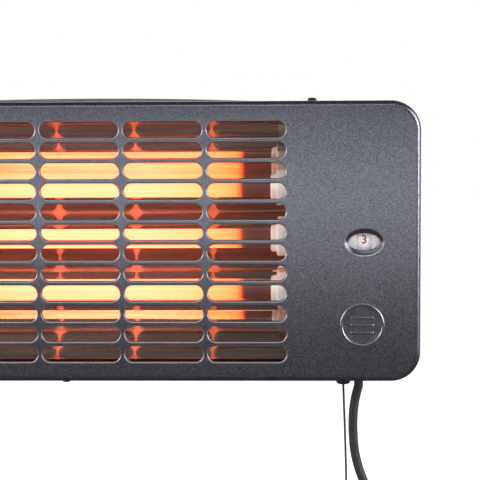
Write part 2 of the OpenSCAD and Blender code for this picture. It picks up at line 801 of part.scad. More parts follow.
module clamp_knob() {
    hub_t = 3;
    bite_r = knob_d * 0.14;
    color("#202124") difference() {
        union() {
            rod_x(bolt_d / 2 + 4, knob_x, knob_x + hub_t, pivot_y, pivot_z);
            rod_x(knob_d / 2, knob_x + hub_t, knob_x + knob_t, pivot_y, pivot_z);
        }
        for (k = [0:knob_lobes - 1])
            rod_x(bite_r, knob_x - 1, knob_x + knob_t + 1,
                  pivot_y + (knob_d / 2 + bite_r / 3) * cos(60 * k),
                  pivot_z + (knob_d / 2 + bite_r / 3) * sin(60 * k));
        rod_x(bolt_d / 2 + run_fit, knob_x - 1, knob_x + knob_t - 1.5, pivot_y, pivot_z);
    }
}

module clamp_knob_left() on_side(-1) clamp_knob();
module clamp_knob_right() on_side(1) clamp_knob();

// ---- supply ----

module terminal_block() {
    notch_w = 1.2;
    color("#e6e0d2") difference() {
        block([block_x0, block_y0, block_z0], [block_x1, inner_back_y, block_z1]);
        for (k = [0:block_poles - 1], z = [block_z0 + 5, block_z1 - 5])
            rod_y(well_r, block_y0 - 1, block_y0 + 4, block_x0 + (k + 0.5) * pole, z);
        for (k = [1:block_poles - 1])
            block([block_x0 + k * pole - notch_w / 2, block_y0 - 1, block_z0 - 1],
                  [block_x0 + k * pole + notch_w / 2, block_y0 + 5, block_z1 + 1]);
    }
}

module terminal_screws() {
    color("#c9b46a") for (k = [0:block_poles - 1], z = [block_z0 + 5, block_z1 - 5])
        rod_y(well_r - 0.2, block_y0 + 1.5, block_y0 + 4, block_x0 + (k + 0.5) * pole, z);
}

module cord_clamp() {
    half_w = 12;
    deep = 5;
    leg = 3;
    low_z = inner_floor_z + 4;
    top_z = low_z + 6;
    color("#d9d7d0") difference() {
        union() {
            block([gland_x - half_w, gland_y - deep, low_z],
                  [gland_x + half_w, gland_y + deep, top_z]);
            for (side = [-1, 1])
                translate([gland_x + side * (half_w - leg / 2), gland_y, (inner_floor_z + low_z) / 2])
                    cube([leg, 2 * deep, low_z - inner_floor_z], center = true);
        }
        rod_z(gland_bore_r, low_z - 1, top_z + 1, gland_x, gland_y);
    }
}

module cable_gland() {
    flange_t = 2;
    color("#151517") difference() {
        union() {
            rod_z(gland_r, floor_z - flange_t, floor_z, gland_x, gland_y);
            translate([gland_x, gland_y, gland_z])
                cylinder(r1 = mains_d / 2 + 1.6, r2 = gland_r - 1, h = floor_z - flange_t - gland_z);
            rod_z(gland_neck_r, floor_z, inner_floor_z, gland_x, gland_y);
            rod_z(gland_r, inner_floor_z, inner_floor_z + flange_t, gland_x, gland_y);
        }
        rod_z(gland_bore_r, gland_z - 1, inner_floor_z + flange_t + 1, gland_x, gland_y);
    }
}

module supply_cable() {
    color("#1b1b1d") plain_tube(supply_route, mains_d / 2, 10);
}

module earth_screw() {
    nut_r = 3.4;
    color("#c9b46a") {
        rod_z(screw_r, floor_z, inner_floor_z + 9, earth_x, earth_y);
        for (z = [inner_floor_z, eye_z + eye_t]) rod_z(nut_r, z, z + earth_nut_h, earth_x, earth_y);
        rod_z(nut_r, floor_z - 0.8, floor_z, earth_x, earth_y);
    }
}

module thermal_cutout() {
    y = shield_y - 6;
    z = 62;
    x0 = end_x + end_t;
    x1 = x0 + 6;
    tag_l = 7;
    tag_gap = 3;
    color("#2f2d2b") {
        rod_x(8, x0, x1, y, z);
        for (side = [-1, 1])
            block([x1, y + side * tag_gap - blade_t / 2, z - blade_w / 2],
                  [x1 + tag_l, y + side * tag_gap + blade_t / 2, z + blade_w / 2]);
    }
}

module internal_wires() {
    color("#b8321f") difference() {
        union() {
            for (route = wire_routes) plain_tube(route, wire_r);
            rod_z(eye_r, eye_z, eye_z + eye_t, earth_x, earth_y);
        }
        rod_z(screw_r + screw_fit, eye_z - 1, eye_z + eye_t + 1, earth_x, earth_y);
    }
}

// ---- pull switch and number drum ----

module switch_body() {
    color("#e9e4d8") difference() {
        block([switch_x0, switch_y0, -switch_h / 2], [switch_x1, switch_y1, switch_h / 2]);
        rod_x(shaft_d / 2 + run_fit, switch_x0 + 2, switch_x1 + 1, drum_y, 0);
    }
}

module switch_bracket() {
    post_r = 4;
    plate_z = switch_h / 2 + 2;
    arm_y = drum_y - 8;
    arm_z = 12;
    color("#b3b3b1") difference() {
        union() {
            block([switch_x0, switch_y1, -plate_z], [arm_x + arm_t, switch_y1 + arm_t, plate_z]);
            block([arm_x, arm_y, -arm_z], [arm_x + arm_t, switch_y1 + arm_t, arm_z]);
            for (x = [switch_x0 + 8, arm_x - 6], z = [-plate_z + 6, plate_z - 6])
                rod_y(post_r, switch_y1 + arm_t, inner_back_y, x, z);
        }
        rod_x(shaft_d / 2 + run_fit, arm_x - 1, arm_x + arm_t + 1, drum_y, 0);
    }
}

module return_spring() {
    wire = 0.7;
    loop_r = 5;
    color("#8f8f8c") {
        for (k = [0:1]) translate([switch_x1 + wire * (1 + 1.6 * k), drum_y, 0]) rotate([0, 90, 0])
            rotate_extrude() translate([loop_r, 0]) circle(wire, $fn = 16);
        block([switch_x1, drum_y + loop_r - wire, -wire],
              [switch_x1 + 3.4 * wire, drum_y + loop_r + wire, wire]);
    }
}

module pull_sector() {
    hub_r = 4.6;
    low = -14;
    high = 78;
    r = sector_r + sector_lip;
    groove_r = sector_r - pull_d / 2 - 0.15;
    color("#d8d2c4") translate([pull_x - sector_w / 2, drum_y, 0]) difference() {
        union() {
            rod_x(hub_r, 0, sector_w, 0, 0);
            intersection() {
                rod_x(r, 0, sector_w, 0, 0);
                rotate([90, 0, 90]) linear_extrude(sector_w) polygon([
                    [0, 0], [2 * r * cos(low), 2 * r * sin(low)], [2 * r, r],
                    [2 * r * cos(high), 2 * r * sin(high)]]);
            }
        }
        rod_x(shaft_d / 2 + run_fit, -1, sector_w + 1, 0, 0);
        difference() {
            rod_x(r + 1, (sector_w - groove_w) / 2, (sector_w + groove_w) / 2, 0, 0);
            rod_x(groove_r, 0, sector_w, 0, 0);
        }
    }
}

module drum_shaft() {
    color("#bcbcba") rod_x(shaft_d / 2, switch_x0 + 3, arm_x + arm_t + 1.5, drum_y, 0);
}

module ratchet_wheel() {
    tip_r = 9;
    root_r = 6.5;
    teeth = 4;
    color("#cfc9bb") translate([ratchet_x0, drum_y, 0]) difference() {
        rotate([90, 0, 90]) linear_extrude(ratchet_x1 - ratchet_x0) polygon([
            for (k = [0:teeth - 1], q = [[root_r, 0], [root_r + 0.8, 30], [tip_r, 60], [tip_r, 84]])
                [q[0] * cos(90 * k + q[1]), q[0] * sin(90 * k + q[1])]]);
        rod_x(shaft_d / 2 + press_fit, -1, ratchet_x1 - ratchet_x0 + 1, 0, 0);
    }
}

module indicator_drum() {
    hub_r = 5;
    r = drum_d / 2;
    color("#f2f1ee") difference() {
        rod_x(r, drum_x0, drum_x1, drum_y, 0);
        difference() {
            rod_x(r - drum_skin, drum_x0 + drum_skin, drum_x1 + 1, drum_y, 0);
            rod_x(hub_r, drum_x0, drum_x1 + 2, drum_y, 0);
        }
        rod_x(shaft_d / 2 + press_fit, drum_x0 - 1, drum_x1 + 1, drum_y, 0);
    }
}

module indicator_lens() {
    back = dish_d + sheet;
    color("#dfe6ea", 0.6) facing() {
        translate([window_x, 0, -back]) linear_extrude(lens_t - lens_rim_t) oval(lens_w, lens_h);
        translate([window_x, 0, -back - lens_rim_t]) linear_extrude(lens_rim_t)
            oval(lens_w + 2 * lens_rim, lens_h + 2 * lens_rim);
    }
}

module pull_bush() {
    dome_h = floor_z - 2 - bush_z;
    collar_r = bush_r - 0.2;
    color("#17171a") difference() {
        union() {
            rod_z(bush_r, floor_z - 2, floor_z, pull_x, pull_y);
            translate([pull_x, pull_y, bush_z]) cylinder(r1 = bush_r - 2.4, r2 = bush_r, h = dome_h);
            rod_z(bush_neck_r, floor_z, inner_floor_z, pull_x, pull_y);
            rod_z(collar_r, inner_floor_z, inner_floor_z + bush_top, pull_x, pull_y);
        }
        rod_z(bush_bore_r, bush_z - 1, inner_floor_z + bush_top + 1, pull_x, pull_y);
    }
}

// ---- cords ----

module cord_upper() {
    color("#1d1a1a")
        plain_tube([for (z = [0, -50, bush_z]) [pull_x, pull_y, z]], pull_d / 2);
}

module stop_bead() {
    color("#c9c6bd") difference() {
        rod_z(bead_r, bead_z, bead_z + bead_h, pull_x, pull_y);
        rod_z(pull_d / 2 + run_fit, bead_z - 1, bead_z + bead_h + 1, pull_x, pull_y);
    }
}

module pull_cord() {
    color("#1d1a1a") ball_tube(pull_route, pull_d / 2);
}

module pull_knob() {
    knob_l = 28;
    color("#1e1f22") translate(pull_end - [0, 0, knob_l]) rotate_extrude() polygon([
        [0, 0], [6.6, 0], [7.6, 3], [6.8, 10], [4.6, 19], [3.4, 25], [2.8, knob_l], [0, knob_l]]);
}

module mains_cord() {
    color("#1b1b1d") {
        ball_tube(mains_route, mains_d / 2, 10);
        plain_tube([for (z = [coil_z, (coil_z + tail_z) / 2, tail_z]) [tail_x, tail_y, z]],
            mains_d / 2, 10);
    }
}

module mains_coil() {
    color("#1b1b1d") translate([coil_x, gland_y, coil_z]) rotate([90, 0, 0]) rotate_extrude()
        translate([coil_turns_r, 0]) rounded_rect(coil_band, coil_deep, mains_d / 2);
}

module cord_tie() {
    gap = 0.4;
    tie_t = 1.2;
    tie_w = 8;
    top_z = coil_z + coil_turns_r;
    color("#101012") translate([coil_x, gland_y, top_z]) difference() {
        cube([tie_w, coil_deep + 2 * (gap + tie_t), coil_band + 2 * (gap + tie_t)], center = true);
        cube([tie_w + 2, coil_deep + 2 * gap, coil_band + 2 * gap], center = true);
    }
}

module plug_sleeve() {
    color("#1b1b1d") translate([tail_x, tail_y, plug_z])
        cylinder(r1 = mains_d / 2 + 3, r2 = mains_d / 2 + 0.8, h = sleeve_l);
}

module plug_body() {
    color("#1b1b1d") translate([tail_x, tail_y, plug_face_z]) rotate_extrude() polygon([
        [0, 0], [plug_r - 1, 0], [plug_r, 1], [plug_r, 12], [plug_r - 3, 17], [plug_r - 5, 26],
        [plug_r - 9, plug_l - 2], [plug_r - 11, plug_l], [0, plug_l]]);
}

module plug_pins() {
    color("#c8c6bf") for (side = [-1, 1])
        rod_z(pin_d / 2, plug_face_z - pin_l, plug_face_z, tail_x + side * pin_pitch / 2, tail_y);
}

wall_plate();
front_cover();
rear_housing();
reflector();
heat_shield();
end_plate_left();
end_plate_right();
quartz_tube_top();
quartz_tube_middle();
quartz_tube_bottom();
heating_spiral_top();
heating_spiral_middle();
heating_spiral_bottom();
ceramic_cap_top_left();
ceramic_cap_middle_left();
ceramic_cap_bottom_left();
ceramic_cap_top_right();
ceramic_cap_middle_right();
ceramic_cap_bottom_right();
cap_clips();
tube_terminals();
reflector_clips();
tilt_lug_left();
tilt_lug_right();
lug_rivets();
pivot_bolt_left();
pivot_bolt_right();
pivot_washers();
clamp_knob_left();
clamp_knob_right();
cover_screws();
end_plate_screws();
terminal_block();
terminal_screws();
cord_clamp();
cable_gland();
supply_cable();
earth_screw();
thermal_cutout();
switch_body();
switch_bracket();
return_spring();
pull_sector();
drum_shaft();
ratchet_wheel();
indicator_drum();
indicator_lens();
pull_bush();
cord_upper();
stop_bead();
pull_cord();
pull_knob();
internal_wires();
mains_cord();
mains_coil();
cord_tie();
plug_sleeve();
plug_body();
plug_pins();
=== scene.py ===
import math
import bmesh
import bpy
from mathutils import Matrix, Vector


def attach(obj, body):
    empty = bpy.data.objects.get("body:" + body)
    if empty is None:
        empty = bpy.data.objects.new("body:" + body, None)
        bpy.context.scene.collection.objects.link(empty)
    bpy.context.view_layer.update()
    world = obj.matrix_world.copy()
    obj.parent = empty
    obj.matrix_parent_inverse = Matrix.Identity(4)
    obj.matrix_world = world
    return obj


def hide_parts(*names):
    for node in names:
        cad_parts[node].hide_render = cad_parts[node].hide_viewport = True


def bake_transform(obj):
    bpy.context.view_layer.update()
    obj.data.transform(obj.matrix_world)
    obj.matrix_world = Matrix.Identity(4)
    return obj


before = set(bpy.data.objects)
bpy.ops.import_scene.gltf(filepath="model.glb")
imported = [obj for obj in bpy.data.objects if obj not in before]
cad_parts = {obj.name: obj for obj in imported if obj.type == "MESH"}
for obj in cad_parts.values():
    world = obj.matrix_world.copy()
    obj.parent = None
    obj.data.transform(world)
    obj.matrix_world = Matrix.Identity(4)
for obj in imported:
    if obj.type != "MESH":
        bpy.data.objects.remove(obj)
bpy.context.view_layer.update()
print("frame loaded")

mm = 0.001
bpy.context.scene.view_settings.view_transform = "Standard"
bpy.ops.object.select_all(action="DESELECT")

# the heater's main measures, in millimetres
heater = {"frontY": -124, "width": 489.4, "height": 202, "depth": 78, "cornerR": 21.4, "edgeR": 4}
frontY = heater["frontY"]
tubeRows = {"top": 37.5, "middle": 0, "bottom": -37.5}

# the camera stands where the photo was taken from, a little above the heater
cameraPlan = {"side": 163, "ahead": 1250, "height": 109, "aimX": 115.25, "aimZ": 1.73, "roll": -0.33,
              "lens": 131.4, "sensor": 36, "reach": 60}
seenFrom = Vector((cameraPlan["side"], frontY - cameraPlan["ahead"], cameraPlan["height"])) * mm
lookAt = Vector((cameraPlan["aimX"], frontY, cameraPlan["aimZ"])) * mm
bpy.ops.object.camera_add(location=seenFrom)
photoCamera = bpy.context.object
photoCamera.name = "photoCamera"
rolled = Matrix.Rotation(math.radians(cameraPlan["roll"]), 3, "Z")
looking = (lookAt - seenFrom).to_track_quat("-Z", "Y").to_matrix() @ rolled
photoCamera.rotation_euler = looking.to_euler()
photoCamera.data.lens = cameraPlan["lens"]
photoCamera.data.sensor_width = cameraPlan["sensor"]
photoCamera.data.clip_end = cameraPlan["reach"]
bpy.context.scene.camera = photoCamera
print("camera set")


# colours and finishes
def tone(red, green, blue):  # a screen colour from 0 to 255, as the shader wants it
    def straight(c):
        c = c / 255
        return c / 12.92 if c <= 0.04045 else ((c + 0.055) / 1.055) ** 2.4
    return (straight(red), straight(green), straight(blue), 1)


def plugIn(tree, node, inputs):  # an input takes a plain value or another node's socket
    for key, value in inputs.items():
        if isinstance(value, bpy.types.NodeSocket):
            tree.links.new(value, node.inputs[key])
        else:
            node.inputs[key].default_value = value


def addNode(tree, kind, inputs=None, **settings):
    node = tree.nodes.new("ShaderNode" + kind)
    for key, value in settings.items():
        setattr(node, key, value)
    plugIn(tree, node, inputs or {})
    return node


def surface(tree, inputs):
    plugIn(tree, tree.nodes["Principled BSDF"], inputs)


def newFinish(name, inputs=None):
    mat = bpy.data.materials.new(name)
    mat.use_nodes = True
    surface(mat.node_tree, inputs or {})
    return mat, mat.node_tree


def objectSpot(tree):
    return addNode(tree, "TexCoord").outputs["Object"]


def noise(tree, scale, detail=2.0, rough=0.5, stretch=(1, 1, 1)):
    place = addNode(tree, "Mapping", {"Vector": objectSpot(tree), "Scale": stretch}).outputs["Vector"]
    cloud = {"Vector": place, "Scale": scale, "Detail": detail, "Roughness": rough}
    return addNode(tree, "TexNoise", cloud).outputs["Fac"]


def flakes(tree, scale):  # one chance value for each metal flake
    cells = addNode(tree, "TexVoronoi", {"Vector": objectSpot(tree), "Scale": scale})
    return addNode(tree, "SeparateColor", {"Color": cells.outputs["Color"]}).outputs["Red"]


def twoTones(tree, driver, dark, light, low=0.3, high=0.7):
    ramp = addNode(tree, "ValToRGB", {"Fac": driver})
    for stop, at, colour in zip(ramp.color_ramp.elements, (low, high), (dark, light)):
        stop.position = at
        stop.color = colour
    return ramp.outputs["Color"]


def faded(tree, value, low, high, start=0, end=1):  # start at low, end at high, where low may be the greater
    span = {"Value": value, "From Min": low, "From Max": high, "To Min": start, "To Max": end}
    return addNode(tree, "MapRange", span).outputs["Result"]


def spanned(tree, driver, low, high):  # noise, spread from low to high
    return faded(tree, driver, 0.3, 0.7, low, high)


def reckon(tree, operation, first, second=0):
    return addNode(tree, "Math", {0: first, 1: second}, operation=operation).outputs["Value"]


def mixed(tree, share, first, second, kind="RGBA", blend="MIX"):
    a, b, result = (6, 7, 2) if kind == "RGBA" else (2, 3, 0)  # the sockets for colours and for numbers
    made = addNode(tree, "Mix", {"Factor": share, a: first, b: second}, data_type=kind, blend_type=blend)
    return made.outputs[result]


def addBump(tree, height, strength, distance):
    bump = addNode(tree, "Bump", {"Height": height, "Strength": strength, "Distance": distance})
    surface(tree, {"Normal": bump.outputs["Normal"]})


def powderCoat(name, dark, light, metal, rough, fleck, relief, edge=None, gloss=0.5):
    mat, tree = newFinish(name, {"Metallic": metal, "Specular IOR Level": gloss})
    speck = flakes(tree, fleck)
    colour = twoTones(tree, speck, dark, light, 0.0, 1.0)
    roughness = spanned(tree, speck, rough - 0.015, rough + 0.015)
    if edge:  # a lighter tone where the sheet leaves the flat front, a painted highlight line that is partly edge wear, and dark matt lips in the grille, painted shade

        def times(first, second):
            return reckon(tree, "MULTIPLY", first, second)

        def under(value, limit):
            return reckon(tree, "LESS_THAN", value, limit)

        split = addNode(tree, "SeparateXYZ", {"Vector": objectSpot(tree)}).outputs
        across, up = [reckon(tree, "ABSOLUTE", split[axis]) for axis in ("X", "Z")]
        away = reckon(tree, "ABSOLUTE", reckon(tree, "SUBTRACT", split["Y"], frontY * mm))
        flatPart = times(under(across, edge["outlineX"]), under(up, edge["slotZ"]))
        grille = times(flatPart, under(across, edge["slotX"]))
        # the slot lips deep in the grille turn dark and matt: painted shade where the tubes' glow would light them
        deep = times(grille, faded(tree, away, edge["lipFrom"], edge["lipTo"]))
        # the rolled edges round the slots, the window dish and the marks get a lighter tone: a painted highlight line,
        # partly edge wear
        risen = faded(tree, away, edge["outlineFrom"], edge["outlineTo"])
        fallen = faded(tree, away, edge["outlineEnd"], edge["outlineTo"])
        paintedHighlight = times(times(risen, fallen), flatPart)
        for tint, matt, share in ((edge["tone"], edge["rough"], paintedHighlight), (edge["lip"], edge["lipRough"], deep)):
            colour = mixed(tree, share, colour, tint)
            roughness = mixed(tree, share, roughness, matt, "FLOAT")
        surface(tree, {"Metallic": times(reckon(tree, "SUBTRACT", 1, deep), metal)})
    surface(tree, {"Base Color": colour, "Roughness": roughness})
    addBump(tree, noise(tree, fleck * 0.8), relief, 0.0002)
    return mat


def rolledSteel(name, dark, light, rough, metal=1.0, stretch=(0.06, 1, 1), scale=900):
    mat, tree = newFinish(name, {"Metallic": metal})
    streak = noise(tree, scale, 3.0, 0.6, stretch)
    surface(tree, {"Base Color": twoTones(tree, noise(tree, 60), dark, light),
                   "Roughness": spanned(tree, streak, rough - 0.08, rough + 0.08)})
    addBump(tree, streak, 0.12, 0.0001)
    return mat


def mouldedPlastic(name, dark, light, rough, relief=0.15):
    mat, tree = newFinish(name)
    fine = noise(tree, 1400, 3.0, 0.6)
    surface(tree, {"Base Color": twoTones(tree, noise(tree, 70), dark, light),
                   "Roughness": spanned(tree, fine, rough - 0.06, rough + 0.06)})
    addBump(tree, fine, relief, 0.0001)
    return mat


def mirrorSheet():
    look = {"tint": tone(247, 243, 236), "dull": tone(208, 200, 192), "metal": 0.94, "rough": 0.045, "ripple": 26,
            "rippleDepth": 0.0006}
    mat, tree = newFinish("polishedMirror", {"Metallic": look["metal"]})  # the rest is haze that takes the glow
    line = noise(tree, 260, 3.0, 0.6, (0.03, 1, 1))
    surface(tree, {"Base Color": twoTones(tree, line, look["dull"], look["tint"], 0.3, 0.56),
                   "Roughness": spanned(tree, line, look["rough"] - 0.02, look["rough"] + 0.03)})
    addBump(tree, noise(tree, look["ripple"], 1.0, 0.4, (0.2, 1, 1)), 0.7, look["rippleDepth"])
    return mat


def quartzGlass():
    core = (5.8, 0.9, 0.4, 1)
    look = {"end": 0.1175, "cold": tone(128, 82, 73), "core": core,
            "glow": ((0.4, core), (0.66, (5.2, 0.79, 0.28, 1)), (0.86, (4.4, 0.61, 0.16, 1)),
                     (0.945, (2.8, 0.44, 0.09, 1)), (0.972, (1.4, 0.16, 0.02, 1)), (0.985, (0.4, 0.02, 0.003, 1)))}
    mat, tree = newFinish("satinQuartz", {"Base Color": look["cold"], "Roughness": 0.32, "Specular IOR Level": 0.3,
                                          "Emission Strength": 1.0})
    split = addNode(tree, "SeparateXYZ", {"Vector": objectSpot(tree)}).outputs
    side = reckon(tree, "ABSOLUTE", split["X"])
    ramp = addNode(tree, "ValToRGB", {"Fac": faded(tree, side, 0, look["end"])})
    stops = ramp.color_ramp.elements
    stops[0].color = look["core"]
    stops[1].color = (0, 0, 0, 1)
    for at, colour in look["glow"]:
        stops.new(at).color = colour
    streak = noise(tree, 700, 2.0, 0.5, (0.004, 1, 1))
    lift = twoTones(tree, streak, (0.84, 0.84, 0.84, 1), (1, 1, 1, 1), 0.35, 0.6)
    surface(tree, {"Emission Color": mixed(tree, 1.0, ramp.outputs["Color"], lift, blend="MULTIPLY")})
    return mat


def glowingWire():
    mat, tree = newFinish("redHotWire", {"Roughness": 0.55, "Emission Strength": 1.0})
    cloud = noise(tree, 160, 2.0, 0.5, (0.3, 1, 1))
    surface(tree, {"Emission Color": twoTones(tree, cloud, (2.6, 0.55, 0.12, 1), (3.4, 1.0, 0.4, 1)),
                   "Base Color": twoTones(tree, cloud, tone(120, 60, 40), tone(150, 90, 60), 0.35, 0.65)})
    return mat


def glazedCeramic():
    mat, tree = newFinish("whiteSteatite", {"Coat Weight": 0.5, "Coat Roughness": 0.12, "Subsurface Weight": 0.12,
                                            "Subsurface Radius": (0.004, 0.002, 0.001)})
    cloud = noise(tree, 120, 3.0, 0.6)
    surface(tree, {"Base Color": twoTones(tree, cloud, tone(250, 246, 240), tone(255, 253, 249)),
                   "Roughness": spanned(tree, cloud, 0.34, 0.5)})
    addBump(tree, noise(tree, 1800), 0.1, 0.0001)
    return mat


def clearMoulding():
    mat, tree = newFinish("clearWindow", {"Base Color": tone(240, 234, 240), "Alpha": 0.05, "IOR": 1.49})
    fine = noise(tree, 300, 1.0, 0.4)
    surface(tree, {"Roughness": spanned(tree, fine, 0.02, 0.05)})
    addBump(tree, fine, 0.02, 0.0001)
    return mat


def rubberSheath():
    mat, tree = newFinish("rubberSheath", {"Sheen Weight": 0.12, "Sheen Roughness": 0.5})
    fine = noise(tree, 1600, 2.0, 0.6)
    surface(tree, {"Base Color": twoTones(tree, noise(tree, 90, 3.0, 0.6), tone(34, 33, 35), tone(48, 47, 48)),
                   "Roughness": spanned(tree, fine, 0.42, 0.56)})
    addBump(tree, fine, 0.12, 0.0001)
    return mat


def braidedCord():
    mat, tree = newFinish("braidedCord", {"Sheen Weight": 0.3, "Sheen Roughness": 0.4, "Roughness": 0.75})
    bands = []
    for tilt in (0.9, -0.9):
        turned = addNode(tree, "Mapping", {"Vector": objectSpot(tree), "Rotation": (0, tilt, 0)}).outputs["Vector"]
        bands.append(addNode(tree, "TexWave", {"Vector": turned, "Scale": 420, "Distortion": 0.4}).outputs["Fac"])
    weave = reckon(tree, "MAXIMUM", *bands)
    surface(tree, {"Base Color": twoTones(tree, weave, tone(24, 21, 20), tone(56, 48, 46), 0.3, 1.0)})
    addBump(tree, weave, 0.6, 0.0002)
    return mat


# tone is a painted highlight on the rolled edges, partly edge wear; lip is painted shade on the slot lips
coverEdge = {"tone": tone(168, 169, 176), "rough": 0.34, "outlineFrom": 0.00001, "outlineTo": 0.00005,
             "outlineEnd": 0.00028, "outlineX": 0.232, "lip": tone(36, 31, 30), "lipRough": 0.75,
             "lipFrom": 0.0002, "lipTo": 0.00034, "slotX": 0.148, "slotZ": 0.092}
evenGrain = (1, 1, 1)
finish = {
    "cover": powderCoat("anthraciteCoat", tone(65, 66, 72), tone(107, 109, 118), 0.88, 0.29, 1900, 0.05, coverEdge),
    "coverBack": powderCoat("greyPrimer", tone(172, 168, 162), tone(196, 192, 186), 0.1, 0.5, 1500, 0.2),
    "housing": powderCoat("oliveGreyCoat", tone(94, 90, 83), tone(114, 110, 102), 0.1, 0.6, 1500, 0.25, None, 0.1),
    "bracket": powderCoat("darkBracketCoat", tone(42, 43, 47), tone(60, 61, 66), 0.2, 0.5, 1800, 0.3),
    "zinc": rolledSteel("zincPlate", tone(176, 176, 172), tone(204, 204, 201), 0.36),
    "mirror": mirrorSheet(),
    "quartz": quartzGlass(),
    "wire": glowingWire(),
    "ceramic": glazedCeramic(),
    "blackSteel": rolledSteel("blackenedSteel", tone(12, 12, 13), tone(24, 24, 25), 0.5, 0.3, evenGrain, 1500),
    "brass": rolledSteel("plainBrass", tone(186, 160, 92), tone(206, 182, 116), 0.28, 1.0, evenGrain, 1500),
    "blackPlastic": mouldedPlastic("blackMoulding", tone(30, 30, 33), tone(44, 44, 47), 0.42),
    "palePlastic": mouldedPlastic("creamMoulding", tone(214, 208, 192), tone(228, 222, 208), 0.45),
    "drumWhite": mouldedPlastic("whiteMoulding", tone(222, 218, 222), tone(232, 228, 232), 0.45, 0.06),
    # the opal print is toned darker than the white drum so that it matches the drum's shaded edges: painted shade
    "opal": mouldedPlastic("opalPrint", tone(186, 178, 184), tone(194, 186, 192), 0.4, 0.04),
    "drumRed": mouldedPlastic("crimsonPrint", tone(138, 0, 18), tone(152, 2, 26), 0.7, 0.05),
    "window": clearMoulding(),
    "rubber": rubberSheath(),
    "braid": braidedCord(),
    "nickel": rolledSteel("nickelPins", tone(196, 192, 182), tone(216, 213, 205), 0.2, 1.0, (1, 1, 0.08), 1200),
    "redWire": mouldedPlastic("redWireSleeve", tone(150, 44, 30), tone(176, 60, 42), 0.5),
}
print("finishes made:", len(finish))


# workshop helpers
def takeName(name):
    obj = bpy.context.object
    obj.name = name
    obj.data.name = name
    return obj


def putDown():
    if bpy.context.object and bpy.context.object.mode != "OBJECT":
        bpy.ops.object.mode_set(mode="OBJECT")
    bpy.ops.object.select_all(action="DESELECT")


def pickUp(*objs):
    putDown()
    for obj in objs:
        obj.select_set(True)
    bpy.context.view_layer.objects.active = objs[0]
    return objs[0]


def settle(obj):  # the place goes into the mesh
    pickUp(obj)
    bpy.ops.object.transform_apply(location=True, rotation=True, scale=True)
    return obj


def openUp(obj, choice="DESELECT"):
    pickUp(obj)
    bpy.ops.object.mode_set(mode="EDIT")
    bpy.ops.mesh.select_all(action=choice)


def pick(kind, test):
    bpy.ops.mesh.select_mode(type=kind)
    bpy.ops.mesh.select_all(action="DESELECT")
    mesh = bpy.context.edit_object.data
    work = bmesh.from_edit_mesh(mesh)
    for part in {"VERT": work.verts, "EDGE": work.edges, "FACE": work.faces}[kind]:
        if test(part):
            part.select_set(True)
    work.select_flush_mode()
    bmesh.update_edit_mesh(mesh)


def middleOf(edge):
    return (edge.verts[0].co + edge.verts[1].co) / 2


def reachOf(edge):  # how far it runs from left to right
    return abs(edge.verts[0].co.x - edge.verts[1].co.x)


def modify(obj, kind, **values):
    pickUp(obj)
    made = obj.modifiers.new(kind.lower(), kind)
    for key, value in values.items():
        setattr(made, key, value)
    bpy.ops.object.modifier_apply(modifier=made.name)
    return obj


def repeat(obj, count, x=0, z=0):  # a row of copies, a step in millimetres apart
    return modify(obj, "ARRAY", count=count, use_relative_offset=False, use_constant_offset=True,
                  constant_offset_displace=(x * mm, 0, z * mm))


def tidyMesh(obj, gap=0.00001):
    openUp(obj, "SELECT")
    bpy.ops.mesh.remove_doubles(threshold=gap)
    bpy.ops.mesh.normals_make_consistent(inside=False)
    putDown()
    return obj


def smooth(obj, angle=30):
    pickUp(obj)
    bpy.ops.object.shade_smooth_by_angle(angle=math.radians(angle))
    return obj


def joinUp(first, *others):
    pickUp(first, *others)
    bpy.ops.object.join()
    return first


def copyOf(obj, name):
    twin = obj.copy()
    twin.data = obj.data.copy()
    twin.name = name
    twin.data.name = name
    bpy.context.scene.collection.objects.link(twin)
    return twin


def shifted(obj, x=0, y=0, z=0):  # in millimetres
    openUp(obj, "SELECT")
    bpy.ops.transform.translate(value=(x * mm, y * mm, z * mm))
    putDown()
    return obj


def mirrored(obj):  # to the other side of the middle plane
    openUp(obj, "SELECT")
    bpy.ops.transform.resize(value=(-1, 1, 1), center_override=(0, 0, 0))
    bpy.ops.mesh.flip_normals()
    putDown()
    return obj


def cutAway(obj, cutter):
    modify(obj, "BOOLEAN", object=cutter, operation="DIFFERENCE", solver="EXACT")
    bpy.data.objects.remove(cutter)
    return obj


def paint(obj, *looks):
    obj.data.materials.clear()
    for look in looks:
        obj.data.materials.append(finish[look])


def dress(obj, look, body, nodes=(), angle=30):
    if angle:
        smooth(obj, angle)
    if look:
        paint(obj, look)
    putDown()
    if body:
        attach(obj, body)
    if nodes:
        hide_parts(*nodes)
    return obj


def faceRings(name, centre, rings, sides, spread=(0, 0)):
    # an open shell seen from the front: rings of half width, depth behind the front and half height,
    # then pulled apart
    x, z = centre
    rings = [(ring[0], ring[1], ring[2] if len(ring) > 2 else ring[0]) for ring in rings]
    wide, depth, high = rings[0]
    bpy.ops.mesh.primitive_circle_add(vertices=sides, radius=wide * mm, rotation=(math.pi / 2, math.pi / sides, 0),
                                      location=(x * mm, (frontY + depth) * mm, z * mm))
    obj = settle(takeName(name))
    bpy.ops.object.mode_set(mode="EDIT")
    bpy.ops.mesh.select_all(action="SELECT")
    bpy.ops.transform.resize(value=(1, 1, high / wide), center_override=(x * mm, 0, z * mm))
    for nextW, nextD, nextH in rings[1:]:
        bpy.ops.mesh.extrude_region_move(TRANSFORM_OT_translate={"value": (0, (nextD - depth) * mm, 0)})
        bpy.ops.transform.resize(value=(nextW / wide, 1, nextH / high),
                                 center_override=(x * mm, (frontY + nextD) * mm, z * mm))
        wide, depth, high = nextW, nextD, nextH
    for axis, amount in ((0, spread[0]), (2, spread[1])):
        if not amount:
            continue
        for side in (-1, 1):
            pick("VERT", lambda v: (v.co[axis] - centre[axis // 2] * mm) * side > 0)
            bpy.ops.transform.translate(value=[side * amount * mm if k == axis else 0 for k in range(3)])
    putDown()
    return obj


